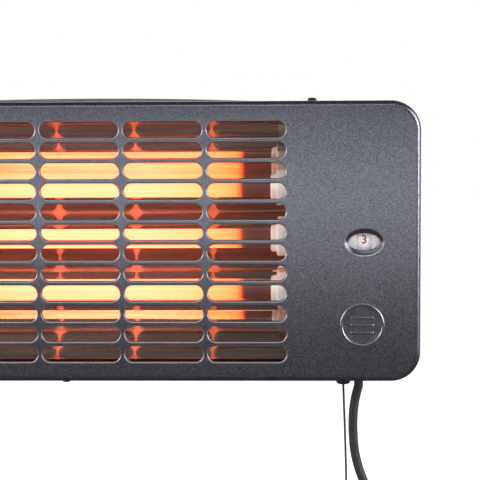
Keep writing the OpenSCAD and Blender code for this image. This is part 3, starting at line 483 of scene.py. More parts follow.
def turnedPiece(name, outline, steps, axis, centre):
    # an outline of (along, radius) turned about an axis through centre
    along = {"X": Vector((1, 0, 0)), "Z": Vector((0, 0, 1))}[axis]
    across = Vector((0, 0, 1)) if axis == "X" else Vector((1, 0, 0))
    heart = Vector(centre) * mm
    points = [heart + (along * a + across * r) * mm for a, r in outline]
    bpy.ops.mesh.primitive_plane_add(size=0.001, location=points[0])
    obj = settle(takeName(name))
    bpy.ops.object.mode_set(mode="EDIT")
    bpy.ops.mesh.select_mode(type="VERT")
    bpy.ops.mesh.select_all(action="SELECT")
    bpy.ops.mesh.merge(type="CENTER")
    for a, b in zip(points, points[1:]):
        bpy.ops.mesh.extrude_vertices_move(TRANSFORM_OT_translate={"value": b - a})
    bpy.ops.mesh.select_all(action="SELECT")
    bpy.ops.mesh.spin(steps=steps, dupli=False, angle=2 * math.pi, center=heart, axis=along)
    putDown()
    return tidyMesh(obj, 0.000004)


def wireAlong(name, points, radius, sides=3):
    # a smooth round wire through points given in metres
    curve = bpy.data.curves.new(name, "CURVE")
    curve.dimensions = "3D"
    line = curve.splines.new("POLY")
    line.points.add(len(points) - 1)
    for dot, p in zip(line.points, points):
        dot.co = (*p, 1)
    curve.bevel_depth = radius
    curve.bevel_resolution = sides
    curve.use_fill_caps = True
    obj = bpy.data.objects.new(name, curve)
    bpy.context.scene.collection.objects.link(obj)
    pickUp(obj)
    bpy.ops.object.convert(target="MESH")
    return tidyMesh(takeName(name), 0.000002)


def smoothRoute(points, step):
    # points in millimetres joined by one flowing curve, resampled every step millimetres, in metres
    ends = [Vector(p) for p in points]
    ends = [ends[0] * 2 - ends[1]] + ends + [ends[-1] * 2 - ends[-2]]
    fine = []
    for a, b, c, d in zip(ends, ends[1:], ends[2:], ends[3:]):
        for t in (k / 12 for k in range(12)):
            square, cube = 2 * a - 5 * b + 4 * c - d, 3 * b - a - 3 * c + d
            fine.append(0.5 * ((2 * b) + (c - a) * t + square * t * t + cube * t ** 3))
    fine.append(ends[-2])
    kept, gone = [fine[0]], 0
    for p, q in zip(fine, fine[1:]):
        gone += (q - p).length
        if gone >= step:
            kept.append(q)
            gone = 0
    if (kept[-1] - fine[-1]).length > step * 0.3:
        kept.append(fine[-1])
    else:
        kept[-1] = fine[-1]
    return [p * mm for p in kept]


# cords
mainsPlan = {"thick": 7, "length": 1.8, "exitX": 201.7, "exitY": -71, "exitZ": -108.5, "coilX": 184.2,
             "coilZ": -253, "innerR": 35, "lanes": 3, "turnSteps": 36, "stepFrom": 0.72, "stepShare": 0.28,
             "tailDrops": (7, 14, 23, 32)}
exitX, exitY, exitZ, coilX, coilZ = [mainsPlan[key] for key in ("exitX", "exitY", "exitZ", "coilX", "coilZ")]
thick, lanes, innerR, turnSteps = [mainsPlan[key] for key in ("thick", "lanes", "innerR", "turnSteps")]
layerBack, layerFront = exitY + thick / 2, exitY - thick / 2
leadSteps = [(0, 0, 0), (0, 0, -3.5), (-1.3, 0, -8.5), (-2.7, 0, -14.5), (-3.8, 0, -22.5), (-4.3, 0, -31.5),
             (-4.1, 0, -41.5), (-3.2, 0, -52.5), (-0.9, 0, -63.5), (2.8, 0, -74.5), (7.9, 0.4, -85.5),
             (14, 1.2, -96.5), (20.5, 2.3, -107.5), (26, 3.1, -119.5), (30, 3.5, -131.5)]
leadDown = [(exitX + x, exitY + y, exitZ + z) for x, y, z in leadSteps]
coilPath = []
widest = innerR + thick * (lanes - 1)
for layer, first, last in ((0, widest, innerR), (1, innerR, widest)):
    for k in range(lanes * turnSteps + layer):
        lane, part = divmod(k, turnSteps)
        share = min(1, max(0, (part / turnSteps - mainsPlan["stepFrom"]) / mainsPlan["stepShare"]))
        share = share * share * (3 - 2 * share)  # each turn keeps its radius and steps over near its end
        span = thick if last > first else -thick
        r = first + span * (lane + share)
        y = layerFront if layer else layerBack
        if lane == lanes - 1:  # the last turn keeps its radius, and in the back layer it climbs to the front
            r = first + span * lane
            y = layerFront if layer else layerBack + (layerFront - layerBack) * share
        angle = -2 * math.pi * k / turnSteps
        coilPath.append((coilX + r * math.cos(angle), y, coilZ + r * math.sin(angle)))
tailX = coilX + widest
tail = [(tailX, layerFront, coilZ - drop) for drop in mainsPlan["tailDrops"]]
leadPoints = smoothRoute(leadDown + coilPath[:1], 4.0)[:-1] + [Vector(p) * mm for p in coilPath + tail]
leadLength = sum((b - a).length for a, b in zip(leadPoints, leadPoints[1:]))
print("mains lead points", len(leadPoints), "length", round(leadLength, 3))
mainsLead = wireAlong("mainsLead", leadPoints, thick / 2 * mm, 4)
dress(mainsLead, "rubber", None, ("mains_cord", "mains_coil"), 40)
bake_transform(mainsLead)

pullPlan = {"thick": 1.7, "x": 189.8, "y": -88, "mouthZ": -108.4, "length": 0.2285, "gripX": 192.7, "gripZ": -365}
pullSteps = [(0, -0.2), (0.3, -8.6), (0.6, -17.6), (1, -28.6), (1.3, -38.6), (1.6, -48.6), (1.9, -60.6),
             (2.2, -74.6), (2.5, -92.6), (2.8, -117.6), (2.9, -147.6), (2.9, -182.6), (2.9, -207.6), (2.9, -228.6)]
pullPoints = smoothRoute([(pullPlan["x"] + x, pullPlan["y"], pullPlan["mouthZ"] + z) for x, z in pullSteps], 4.0)
pullString = wireAlong("pullString", pullPoints, pullPlan["thick"] / 2 * mm, 2)
dress(pullString, "braid", None, ("pull_cord",), 40)
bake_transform(pullString)

plugPlan = {"top": -307, "face": -343, "ribTurn": 7.5, "ribLow": 1, "ribHigh": 12, "ribEdge": 0.4, "ribDeep": 0.6,
            "pinSide": 9.5, "pinLong": 19}
sleeveOutline = [(0, 0.5), (0, 6.5), (1.5, 6.5), (2.2, 5.7), (3.4, 5.7), (4.1, 6.2), (5.6, 6.2), (6.3, 5.4),
                 (7.5, 5.4), (8.2, 5.8), (9.7, 5.8), (10.4, 5.1), (11.6, 5.1), (12.3, 5.4), (13.8, 5.4),
                 (14.5, 4.8), (15.7, 4.8), (16.4, 5.0), (18, 4.9), (19, 4.4), (22, 4.2), (22, 3.4), (2, 3.4), (2, 0.5)]
plugSleeve = turnedPiece("plugSleeve", sleeveOutline, 32, "Z", (tailX, layerFront, plugPlan["top"]))
dress(plugSleeve, "rubber", "mains_lead", ("plug_sleeve",))
plugOutline = [(0, 0), (0, 16.9), (0.5, 17.9), (1.4, 18.5), (12, 18.5), (13.4, 18.2), (15.2, 17.1), (17, 15.6),
               (19, 14.7), (22.5, 13.9), (26, 13.3), (29, 12), (32, 10.2), (34.4, 8.8), (36, 7.2), (36, 0)]
plugBody = turnedPiece("plugBody", plugOutline, 48, "Z", (tailX, layerFront, plugPlan["face"]))


def inRib(f):  # every other strip round the plug's grip
    m = f.calc_center_median() / mm
    turn = math.degrees(math.atan2(m.y - layerFront, m.x - tailX)) + 360
    grip = plugPlan["ribLow"] < m.z - plugPlan["face"] < plugPlan["ribHigh"]
    return grip and abs(f.normal.z) < 0.3 and int(turn / plugPlan["ribTurn"]) % 2 == 0


openUp(plugBody)
pick("FACE", inRib)
bpy.ops.mesh.inset(thickness=plugPlan["ribEdge"] * mm, depth=-plugPlan["ribDeep"] * mm, use_individual=True)
putDown()
dress(plugBody, "rubber", "mains_lead", ("plug_body",))
onePin = [(0, 0), (0, 1.5), (0.5, 2.1), (1.4, 2.4), (17.6, 2.4), (19, 2.4), (19, 0)]
plugPins = joinUp(*[turnedPiece(name, onePin, 24, "Z", (tailX + side * plugPlan["pinSide"], layerFront,
                                                        plugPlan["face"] - plugPlan["pinLong"]))
                    for name, side in (("plugPins", -1), ("plugPinRight", 1))])
dress(plugPins, "nickel", "mains_lead", ("plug_pins",))

tiePlan = {"width": 8, "deep": 17.2, "high": 24.2, "strap": 1.5, "above": 42, "bendR": 3, "cuts": 7,
           "proud": 1.02, "proudHalf": 2.2}
tieCentre = Vector((coilX, exitY, coilZ + tiePlan["above"])) * mm
bpy.ops.mesh.primitive_cube_add(size=1, location=tieCentre)
coilTie = takeName("coilTie")
coilTie.scale = [tiePlan[side] * mm for side in ("width", "deep", "high")]
settle(coilTie)
openUp(coilTie)
pick("FACE", lambda f: abs(f.normal.x) > 0.9)
bpy.ops.mesh.delete(type="FACE")
pick("EDGE", lambda e: reachOf(e) > 0.001)
bpy.ops.mesh.bevel(offset=tiePlan["bendR"] * mm, segments=5, affect="EDGES")
pick("EDGE", lambda e: reachOf(e) > 0.001)
bpy.ops.mesh.subdivide(number_cuts=tiePlan["cuts"])
pick("VERT", lambda v: abs(v.co.x / mm - coilX) < tiePlan["proudHalf"])  # the strap's middle stands a little proud
bpy.ops.transform.resize(value=(1, tiePlan["proud"], tiePlan["proud"]), center_override=(0, tieCentre.y, tieCentre.z))
putDown()
modify(coilTie, "SOLIDIFY", thickness=tiePlan["strap"] * mm, offset=-1)
tidyMesh(coilTie)
dress(coilTie, "blackPlastic", "mains_lead", ("cord_tie",))

gripOutline = [(0, 0), (0, 5.2), (0.6, 6.3), (1.8, 7.0), (3.4, 7.4), (5, 7.5), (8, 7.2), (10.5, 6.6), (13, 5.9),
               (16, 5.2), (19, 4.6), (22, 4.0), (24.5, 3.5), (26, 3.3), (27.2, 2.9), (28, 2.0), (28, 0)]
pullGrip = turnedPiece("pullGrip", gripOutline, 40, "Z", (pullPlan["gripX"], pullPlan["y"], pullPlan["gripZ"]))
dress(pullGrip, "blackPlastic", "pull_cord", ("pull_knob",), 40)
print("cords and plug made")

# front cover
coverPlan = {"sheet": 0.8, "slotR": 5.7, "slotHalf": 22.5, "lipDepth": 3.4, "lipBend": 2.4, "roll": 0.95, "cols": 5,
             "rows": 12, "pitchX": 60, "pitchZ": 14.7, "windowX": 204.2, "windowZ": 0, "ringX": 202.7, "ringZ": -60,
             "ringInner": 14.2, "rise": 0.6, "ribPitch": 5.4, "ribHalf": 7.2, "rimDepths": (14, 23.3, 24)}
cornerR, edgeR, slotR, roll = heater["cornerR"], heater["edgeR"], coverPlan["slotR"], coverPlan["roll"]
bend = [math.radians(15 * k) for k in range(7)]
slotRings = [(slotR, coverPlan["lipDepth"]), (slotR, coverPlan["lipBend"])]
slotRings += [(slotR + roll * (1 - math.cos(a)), roll * (1 - math.sin(a))) for a in bend]
firstSlot = [-(coverPlan[many] - 1) / 2 * coverPlan[pitch] for many, pitch in (("cols", "pitchX"), ("rows", "pitchZ"))]
frontCover = faceRings("frontCover", firstSlot, slotRings, 36, (coverPlan["slotHalf"], 0))
repeat(frontCover, coverPlan["cols"], x=coverPlan["pitchX"])
repeat(frontCover, coverPlan["rows"], z=coverPlan["pitchZ"])

rimRings = [(cornerR - edgeR + edgeR * math.sin(a), edgeR * (1 - math.cos(a))) for a in bend]
rimRings += [(cornerR, depth) for depth in coverPlan["rimDepths"]]
rimSpread = (heater["width"] / 2 - cornerR, heater["height"] / 2 - cornerR)
rimShell = faceRings("rimShell", (0, 0), rimRings, 64, rimSpread)

dishRings = [(11.2, 2.2, 6.35), (11.2, 1.75, 6.35), (11.3, 1.5, 6.5), (11.6, 1.32, 7.0), (12.1, 1.1, 7.7),
             (12.7, 0.8, 8.4), (13.3, 0.46, 9.1), (13.8, 0.18, 9.7), (14.1, 0.05, 10.05), (14.4, 0, 10.4)]
windowDish = faceRings("windowDish", (coverPlan["windowX"], coverPlan["windowZ"]), dishRings, 64)
rise, ringX, ringZ = coverPlan["rise"], coverPlan["ringX"], coverPlan["ringZ"]
ringOutline = ((15.95, 0), (15.75, 0.25), (15.5, 0.75), (15.2, 1), (14.7, 1), (14.4, 0.75), (14.15, 0.25), (13.95, 0))
markRing = faceRings("markRing", (ringX, ringZ), [(r, -up * rise) for r, up in ringOutline], 64)
markRibs = []
for k in (-1, 0, 1):
    ribRings = [(r, -up * rise) for r, up in ((1.1, 0), (0.95, 0.25), (0.7, 0.75), (0.4, 1))]
    ribCentre = (ringX, ringZ + k * coverPlan["ribPitch"])
    rib = faceRings("markRib", ribCentre, ribRings, 20, (coverPlan["ribHalf"], 0))
    openUp(rib)
    pick("VERT", lambda v: v.co.y < (frontY - rise + 0.01) * mm)  # the rib's top is closed
    bpy.ops.mesh.edge_face_add()
    putDown()
    markRibs.append(rib)
joinUp(frontCover, rimShell, windowDish, markRing, *markRibs)


def openAt(e, depth):  # an open edge that lies this deep behind the front
    return e.is_boundary and all(abs(v.co.y - (frontY + depth) * mm) < 0.000005 for v in e.verts)


def inRing(e):
    m = middleOf(e) / mm
    return math.hypot(m.x - ringX, m.z - ringZ) < coverPlan["ringInner"]


def sheetMetal(obj, *looks):  # gives an open shell its thickness, with the second look on its inside
    tidyMesh(obj, 0.000002)
    paint(obj, *looks)
    modify(obj, "SOLIDIFY", thickness=coverPlan["sheet"] * mm, offset=-1, use_even_offset=False,
           material_offset=len(looks) - 1)
    smooth(obj, 40)
    modify(obj, "WEIGHTED_NORMAL", keep_sharp=True, weight=80)


openUp(frontCover)
for inside in (True, False):
    pick("EDGE", lambda e: openAt(e, 0) and inRing(e) == inside)
    bpy.ops.mesh.fill(use_beauty=True)
putDown()
sheetMetal(frontCover, "cover", "coverBack")
dress(frontCover, None, "housing", ("front_cover",), None)
print("front cover made, faces", len(frontCover.data.polygons))

# rear housing
rearPlan = {"width": 486.8, "height": 199.4, "cornerR": 20.1, "backR": 3, "depths": (6, 6.8, 24.1, 24.4, 26, 50, 75),
            "topFrom": 90, "topEdge": 400, "crown": 3.3, "crownStart": 24.25, "crownHalf": 146.5, "crownCuts": 49,
            "ventCols": 6, "ventRows": 3, "ventPitchX": 52, "ventPitchZ": 10, "ventHalf": 20, "ventZ": -80,
            "ventsApart": 140}
rearR, backR = rearPlan["cornerR"], rearPlan["backR"]
rearRings = [(rearR, depth) for depth in rearPlan["depths"]]
rearRings += [(rearR - backR * (1 - math.cos(a)), rearPlan["depths"][-1] + backR * math.sin(a))
              for a in map(math.radians, (18, 36, 54, 72, 90))]
rearSpread = (rearPlan["width"] / 2 - rearR, rearPlan["height"] / 2 - rearR)
rearShell = faceRings("rearShell", (0, 0), rearRings, 64, rearSpread)
openUp(rearShell)
topFrom = rearPlan["topFrom"] * mm
pick("EDGE", lambda e: reachOf(e) > rearPlan["topEdge"] * mm and middleOf(e).z > topFrom)
bpy.ops.mesh.subdivide(number_cuts=rearPlan["crownCuts"])
pick("VERT", lambda v: v.co.y < (frontY + rearPlan["crownStart"]) * mm)
bpy.ops.mesh.hide(unselected=False)
pick("VERT", lambda v: not v.hide and abs(v.co.x) < 0.0001 and v.co.z > topFrom)
bpy.ops.transform.translate(value=(0, 0, rearPlan["crown"] * mm), use_proportional_edit=True,
                            proportional_edit_falloff="INVERSE_SQUARE", proportional_size=rearPlan["crownHalf"] * mm)
bpy.ops.mesh.reveal(select=False)
putDown()
ventRings = [(2.0, 76.4), (2.0, 77.3), (2.12, 77.7), (2.4, 77.92), (2.8, heater["depth"])]
firstVent = (-(rearPlan["ventCols"] - 1) / 2 * rearPlan["ventPitchX"], rearPlan["ventZ"])
ventStart = faceRings("ventStart", firstVent, ventRings, 20, (rearPlan["ventHalf"], 0))
repeat(ventStart, rearPlan["ventCols"], x=rearPlan["ventPitchX"])
repeat(ventStart, rearPlan["ventRows"], z=rearPlan["ventPitchZ"])
ventTop = shifted(copyOf(ventStart, "ventTop"), z=rearPlan["ventsApart"])
joinUp(rearShell, ventStart, ventTop)
rearHousing = takeName("rearHousing")
openUp(rearHousing)
pick("EDGE", lambda e: openAt(e, heater["depth"]))
bpy.ops.mesh.fill(use_beauty=True)
putDown()
sheetMetal(rearHousing, "housing")
dress(rearHousing, None, "housing", ("rear_housing",), None)
print("rear housing made, faces", len(rearHousing.data.polygons))

# mirror
mirrorPlan = {"halfLength": 154, "middleY": -68, "thick": 0.8, "foldR": 0.2,
              "line": [(-90, 19.1), (-55.9, 2.1), (-45, 0.3), (-37.5, 1.2), (-27, 0), (-10.5, 0), (0, 1.2), (10.5, 0),
                       (27, 0), (36, 1.2), (43, 0), (50.3, 1.25), (90, 18.9)]}  # height and rise of each fold
(lowZ, lowRise), (nextZ, nextRise) = mirrorPlan["line"][:2]
bpy.ops.mesh.primitive_plane_add(size=1, rotation=(math.pi / 2, 0, 0),
                                 location=(0, (mirrorPlan["middleY"] - lowRise) * mm, (lowZ + nextZ) / 2 * mm))
reflectorSheet = takeName("reflectorSheet")
reflectorSheet.scale = (2 * mirrorPlan["halfLength"] * mm, (nextZ - lowZ) * mm, 1)
settle(reflectorSheet)
openUp(reflectorSheet)
pick("EDGE", lambda e: all(v.co.z > (nextZ - 1) * mm for v in e.verts))
bpy.ops.transform.translate(value=(0, (lowRise - nextRise) * mm, 0))
for (z0, rise0), (z1, rise1) in zip(mirrorPlan["line"][1:], mirrorPlan["line"][2:]):
    onward = (0, (rise0 - rise1) * mm, (z1 - z0) * mm)
    bpy.ops.mesh.extrude_region_move(TRANSFORM_OT_translate={"value": onward})
putDown()
modify(reflectorSheet, "BEVEL", width=mirrorPlan["foldR"] * mm, segments=3, limit_method="ANGLE",
       angle_limit=math.radians(3))
modify(reflectorSheet, "SOLIDIFY", thickness=mirrorPlan["thick"] * mm, offset=-1)
dress(reflectorSheet, "mirror", "housing", ("reflector",), 60)
print("mirror made")

# quartz tubes, spirals and caps
tubePlan = {"y": -89, "half": 148, "outer": 7, "inner": 5.8, "wire": 0.45, "spiralR": 4.5, "spiralHalf": 120,
            "pitch": 2.6, "capX": 154}
half, outer, inner = tubePlan["half"], tubePlan["outer"], tubePlan["inner"]
tubeCentre = (0, tubePlan["y"], 0)
tubeEnd = [(half - 2, outer), (half - 1, 6.8), (half - 0.4, 6.4), (half, inner)]
tubeOutline = [(-x, r) for x, r in reversed(tubeEnd)] + [(x, outer) for x in (-90, -30, 30, 90)] + tubeEnd
tubeOutline += [(x, inner) for x in (90, -90, -half)]
middleTube = turnedPiece("quartzTubeMiddle", tubeOutline, 48, "X", tubeCentre)
wireStart = (-tubePlan["spiralHalf"] * mm, 0, (tubePlan["spiralR"] - tubePlan["wire"]) * mm)
bpy.ops.mesh.primitive_circle_add(vertices=6, radius=tubePlan["wire"] * mm, location=wireStart,
                                  rotation=(math.pi / 2, 0, 0))
middleSpiral = settle(takeName("heatingSpiralMiddle"))
turns = int(2 * tubePlan["spiralHalf"] / tubePlan["pitch"])
modify(middleSpiral, "SCREW", axis="X", angle=2 * math.pi, screw_offset=2 * tubePlan["spiralHalf"] / turns * mm,
       iterations=turns, steps=14, render_steps=14)
shifted(middleSpiral, y=tubePlan["y"])
openUp(middleSpiral)
pick("EDGE", lambda e: e.is_boundary)
bpy.ops.mesh.edge_face_add()
putDown()
tidyMesh(middleSpiral, 0.000001)
rodOutline = [(119.6, 0), (119.6, 0.5), (119.9, 0.8), (147.4, 0.8), (147.8, 0.5), (147.8, 0)]
leadRod = turnedPiece("spiralLead", rodOutline, 12, "X", tubeCentre)
leadStep = turnedPiece("spiralStep", [(0, 0), (0, 0.45), (4.0, 0.45), (4.0, 0)], 8, "Z", (119.9, tubePlan["y"], 0))
joinUp(leadRod, leadStep)
joinUp(middleSpiral, leadRod, mirrored(copyOf(leadRod, "leadRodLeft")))

capOutline = [(-17.3, 7.15), (-17.3, 8.6), (-17.0, 9.3), (-16.3, 9.8), (-15.4, 10), (-13.6, 10), (-13.2, 10.2),
              (-13, 10.6), (-13, 12), (-12.7, 12.6), (-12.1, 13), (-0.8, 13), (-0.2, 12.7), (0, 12.2), (0, 8.6),
              (0.3, 8), (8.4, 8), (9, 7.4), (9, 1.65), (-4, 1.65), (-4, 7.15), (-17.3, 7.15)]
rightCap = turnedPiece("ceramicCapMiddleRight", capOutline, 40, "X", (tubePlan["capX"], tubePlan["y"], 0))
leftCap = mirrored(copyOf(rightCap, "ceramicCapMiddleLeft"))
for row, z in tubeRows.items():
    for middle, look, nodeName, slotName, angle in (
            (middleTube, "quartz", "quartz_tube_" + row, "quartz", 40),
            (middleSpiral, "wire", "heating_spiral_" + row, "glowing_wire", 60),
            (rightCap, "ceramic", "ceramic_cap_" + row + "_right", "ceramic", 35),
            (leftCap, "ceramic", "ceramic_cap_" + row + "_left", "ceramic", 35)):
        name = middle.name.replace("Middle", row.capitalize())
        part = middle if row == "middle" else shifted(copyOf(middle, name), z=z)
        dress(part, look, "housing", (nodeName,), angle)
print("tubes, spirals and caps made")

# window, drum and numbers
lensPlan = {"x": coverPlan["windowX"], "z": coverPlan["windowZ"], "clearHalf": 5.4, "middle": 1.5, "printDepth": 3.3}
lensRings = [(13.0, 3.4, 8.15), (13.0, 2.5, 8.15), (12.8, 2.4, 7.95), (10.8, 2.35, 5.95), (10.8, 0.6, 5.95),
             (10.75, 0.4, 5.9), (10.5, 0.25, 5.7), (9.0, -0.2, 4.4), (8.8, -0.25, 4.25), (8.2, -0.3, 3.9),
             (5, -0.36, 2.4), (2, -0.38, 1.0)]
windowLens = faceRings("windowLens", (lensPlan["x"], lensPlan["z"]), lensRings, 64)


def onBack(f):
    return f.calc_center_median().y > (frontY + lensPlan["printDepth"]) * mm


openUp(windowLens)
for side in (-1, 1):  # the face and the back are closed
    pick("EDGE", lambda e: e.is_boundary and (middleOf(e).y - (frontY + lensPlan["middle"]) * mm) * side > 0)
    bpy.ops.mesh.edge_face_add()
for side in (-1, 1):  # the back is printed white on both sides of the number
    pick("FACE", onBack)
    borderX = (lensPlan["x"] + side * lensPlan["clearHalf"]) * mm
    bpy.ops.mesh.bisect(plane_co=(borderX, 0, 0), plane_no=(1, 0, 0))
putDown()
tidyMesh(windowLens, 0.000002)
paint(windowLens, "window", "opal")
openUp(windowLens)
pick("FACE", lambda f: onBack(f) and abs(f.calc_center_median().x / mm - lensPlan["x"]) > lensPlan["clearHalf"])
windowLens.active_material_index = 1
bpy.ops.object.material_slot_assign()
putDown()
dress(windowLens, None, "housing", ("indicator_lens",), 20)

drumPlan = {"x": 204.2, "y": -102, "r": 17, "digit": 8.2, "bold": 0.00018, "ahead": 2, "film": 0.04, "lift": 0.07,
            "prints": ((0.17, 0.05), (-0.17, 0.08))}  # each number is printed twice side by side, to be bold
drumOutline = [(-6.5, 2.52), (-6.5, 16.4), (-6.2, 16.8), (-5.8, 17), (5.8, 17), (6.2, 16.8), (6.5, 16.4),
               (6.5, 15.4), (-4.9, 15.4), (-4.9, 5), (6.5, 5), (6.5, 2.52), (-6.5, 2.52)]
numberDrum = turnedPiece("numberDrum", drumOutline, 64, "X", (drumPlan["x"], drumPlan["y"], 0))
dress(numberDrum, "drumWhite", "drum", ("indicator_drum",), 35)
digitParts = []
for value in range(4):
    bpy.ops.object.text_add(rotation=(math.pi / 2, 0, 0),
                            location=(drumPlan["x"] * mm, (drumPlan["y"] - drumPlan["r"] - drumPlan["ahead"]) * mm, 0))
    text = takeName("drumNumber")
    text.data.body = str(value)
    text.data.size = drumPlan["digit"] * mm
    text.data.align_x = "CENTER"
    text.data.align_y = "CENTER"
    text.data.offset = drumPlan["bold"]
    pickUp(text)
    bpy.ops.object.convert(target="MESH")
    digit = settle(bpy.context.object)
    openUp(digit, "SELECT")
    bpy.ops.mesh.remove_doubles(threshold=0.000002)
    bpy.ops.mesh.subdivide(number_cuts=5)
    putDown()
    for slide, proud in drumPlan["prints"]:
        layer = shifted(copyOf(digit, "drumNumber"), x=slide)
        modify(layer, "SHRINKWRAP", target=numberDrum, wrap_method="PROJECT", use_project_y=True,
               use_positive_direction=True, offset=proud * mm)
        openUp(layer, "SELECT")
        bpy.ops.mesh.extrude_region_shrink_fatten(TRANSFORM_OT_shrink_fatten={"value": drumPlan["film"] * mm})
        bpy.ops.mesh.select_all(action="SELECT")
        bpy.ops.transform.rotate(value=(value + 1) * math.pi / 2 + drumPlan["lift"], orient_axis="X",
                                 center_override=(0, drumPlan["y"] * mm, 0))
        putDown()
        digitParts.append(layer)
    bpy.data.objects.remove(digit)
drumNumbers = joinUp(*digitParts)
tidyMesh(drumNumbers, 0.000001)
dress(drumNumbers, "drumRed", "drum", (), 30)
print("window and number drum made")

# screws, bush, gland and knobs
screwPlan = {"cross": (3.4, 0.7, 1.5), "crossUp": 2.1, "crossTurn": 0.5, "topX": 167.2, "bottomX": -12.7, "depth": 12,
             "outline": [(-5, 0), (-5, 1.4), (-4.7, 1.6), (0, 1.6), (0, 3.0), (0.25, 3.2), (1.0, 3.15), (1.6, 2.75),
                         (1.95, 2.1), (2.1, 1.2), (2.1, 0)]}


def panScrew(name, x, up):  # up is 1 on the top edge and -1 on the bottom edge
    y, z = frontY + screwPlan["depth"], up * heater["height"] / 2
    screw = turnedPiece(name, [(a * up, r) for a, r in screwPlan["outline"]], 28, "Z", (x, y, z))
    for turn in (0, math.pi / 2):  # the cross recess
        bpy.ops.mesh.primitive_cube_add(size=1, rotation=(0, 0, turn + screwPlan["crossTurn"]),
                                        location=(x * mm, y * mm, (z + up * screwPlan["crossUp"]) * mm))
        cutter = takeName("cutter")
        cutter.scale = [side * mm for side in screwPlan["cross"]]
        cutAway(screw, settle(cutter))
    return screw


coverScrews = joinUp(panScrew("coverScrews", -screwPlan["topX"], 1), panScrew("topScrewRight", screwPlan["topX"], 1),
                     panScrew("bottomScrew", screwPlan["bottomX"], -1))
tidyMesh(coverScrews)
dress(coverScrews, "blackSteel", "housing", ("cover_screws",), 35)

glandOutline = [(0, 3.55), (0, 4.6), (0.5, 5.0), (3, 5.2), (5.6, 5.7), (6.6, 6.3), (6.9, 7.0), (7.0, 7.4), (8.6, 7.5),
                (8.8, 7.4), (8.8, 5.5), (9.8, 5.5), (9.8, 7.4), (11.6, 7.5), (11.8, 7.2), (11.8, 3.55), (0, 3.55)]
cordGland = turnedPiece("cordGland", glandOutline, 36, "Z", (exitX, exitY, exitZ))
dress(cordGland, "blackPlastic", "housing", ("cable_gland",), 35)
bushOutline = [(0, 1.4), (0, 3.2), (0.25, 4.1), (0.7, 4.8), (1.4, 5.25), (2.2, 5.4), (6.7, 5.4), (8.5, 5.4),
               (8.7, 5.3), (8.7, 4), (9.7, 4), (9.7, 5.2), (11.9, 5.2), (11.9, 1.4), (0, 1.4)]
pullBushing = turnedPiece("pullBushing", bushOutline, 36, "Z", [pullPlan[key] for key in ("x", "y", "mouthZ")])
dress(pullBushing, "blackPlastic", "housing", ("pull_bush",), 35)

knobPlan = {"x0": 165.8, "y": -30, "z": -30, "r": 12.5, "lobes": 6, "bite": 1.5, "hub": 7.3,
            "outline": [(0, 3.05), (0, 7), (2.6, 7), (3, 7.6), (3, 11.5), (3.5, 12.2), (4.4, 12.5), (10.2, 12.5),
                        (11.3, 12.1), (12, 11), (12, 4.6), (11.4, 4.2), (11.2, 3.05), (0, 3.05)]}
knobY, knobZ, lobeTurn = knobPlan["y"], knobPlan["z"], 360 / knobPlan["lobes"]
rightKnob = turnedPiece("clampKnobRight", knobPlan["outline"], 72, "X", (knobPlan["x0"], knobY, knobZ))
openUp(rightKnob)
for off in (0, 5, 10):  # six hollows in the grip, a few columns of points wide

    def inHollow(v):
        dy, dz = v.co.y / mm - knobY, v.co.z / mm - knobZ
        angle = math.degrees(math.atan2(dz, dy)) % lobeTurn
        return math.hypot(dy, dz) > knobPlan["hub"] and abs(min(angle, lobeTurn - angle) - off) < 1

    pick("VERT", inHollow)
    grow = 1 - knobPlan["bite"] * math.cos(math.radians(knobPlan["lobes"] * off)) ** 2 / knobPlan["r"]
    bpy.ops.transform.resize(value=(1, grow, grow), center_override=(0, knobY * mm, knobZ * mm))
putDown()
leftKnob = mirrored(copyOf(rightKnob, "clampKnobLeft"))
dress(rightKnob, "blackPlastic", "clamp_knob_right", ("clamp_knob_right",), 30)
dress(leftKnob, "blackPlastic", "clamp_knob_left", ("clamp_knob_left",), 30)
print("small parts made")

# finishes of the parts that are carried over
carried = {
    "bracket": ["wall_plate", "tilt_lug_left", "tilt_lug_right"],
    "zinc": ["heat_shield", "end_plate_left", "end_plate_right", "cap_clips", "reflector_clips", "lug_rivets",
             "pivot_bolt_left", "pivot_bolt_right", "pivot_washers", "end_plate_screws", "switch_bracket",
             "return_spring", "drum_shaft", "tube_terminals"],
    "brass": ["terminal_screws", "earth_screw"],
    "blackPlastic": ["thermal_cutout"],
    "palePlastic": ["cord_clamp", "switch_body", "pull_sector", "ratchet_wheel", "stop_bead"],
    "ceramic": ["terminal_block"],
    "rubber": ["supply_cable"],
    "braid": ["cord_upper"],
    "redWire": ["internal_wires"],
}
for look, names in carried.items():
    for nodeName in names:
        paint(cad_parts[nodeName], look)
print("carried parts dressed")

# stage and lights
stagePlan = {"floorZ": -0.42, "floorSize": 14, "ambient": 0.25, "skyFade": (0.5, 0.93), "floorFade": (0.2, 1.4),
             "near": 0.5, "far": 1.8, "nearGlow": 0.72, "floorReflectionFar": (0.085, 0.02, 0.012, 1),
             "floorReflectionNear": (0.1, 0.054, 0.047, 1), "room": (0.043, 0.036, 0.034, 1)}


def rays(tree, output, low, high):
    # where the eye, a mirror or glass looks straight at it, and how far a mirror sees the dim end of the room
    path = addNode(tree, "LightPath").outputs
    split = addNode(tree, "SeparateXYZ", {"Vector": addNode(tree, "TexCoord").outputs[output]}).outputs
    ahead = faded(tree, split["Y"], low, high, 1, 0)
    above = faded(tree, split["Z"], -0.02, 0.06)  # what lies above is dim too
    straight = reckon(tree, "MAXIMUM", path["Is Camera Ray"], path["Is Glossy Ray"])
    straight = reckon(tree, "MAXIMUM", straight, path["Is Transmission Ray"])
    return straight, reckon(tree, "MULTIPLY", path["Is Glossy Ray"], reckon(tree, "MAXIMUM", ahead, above))


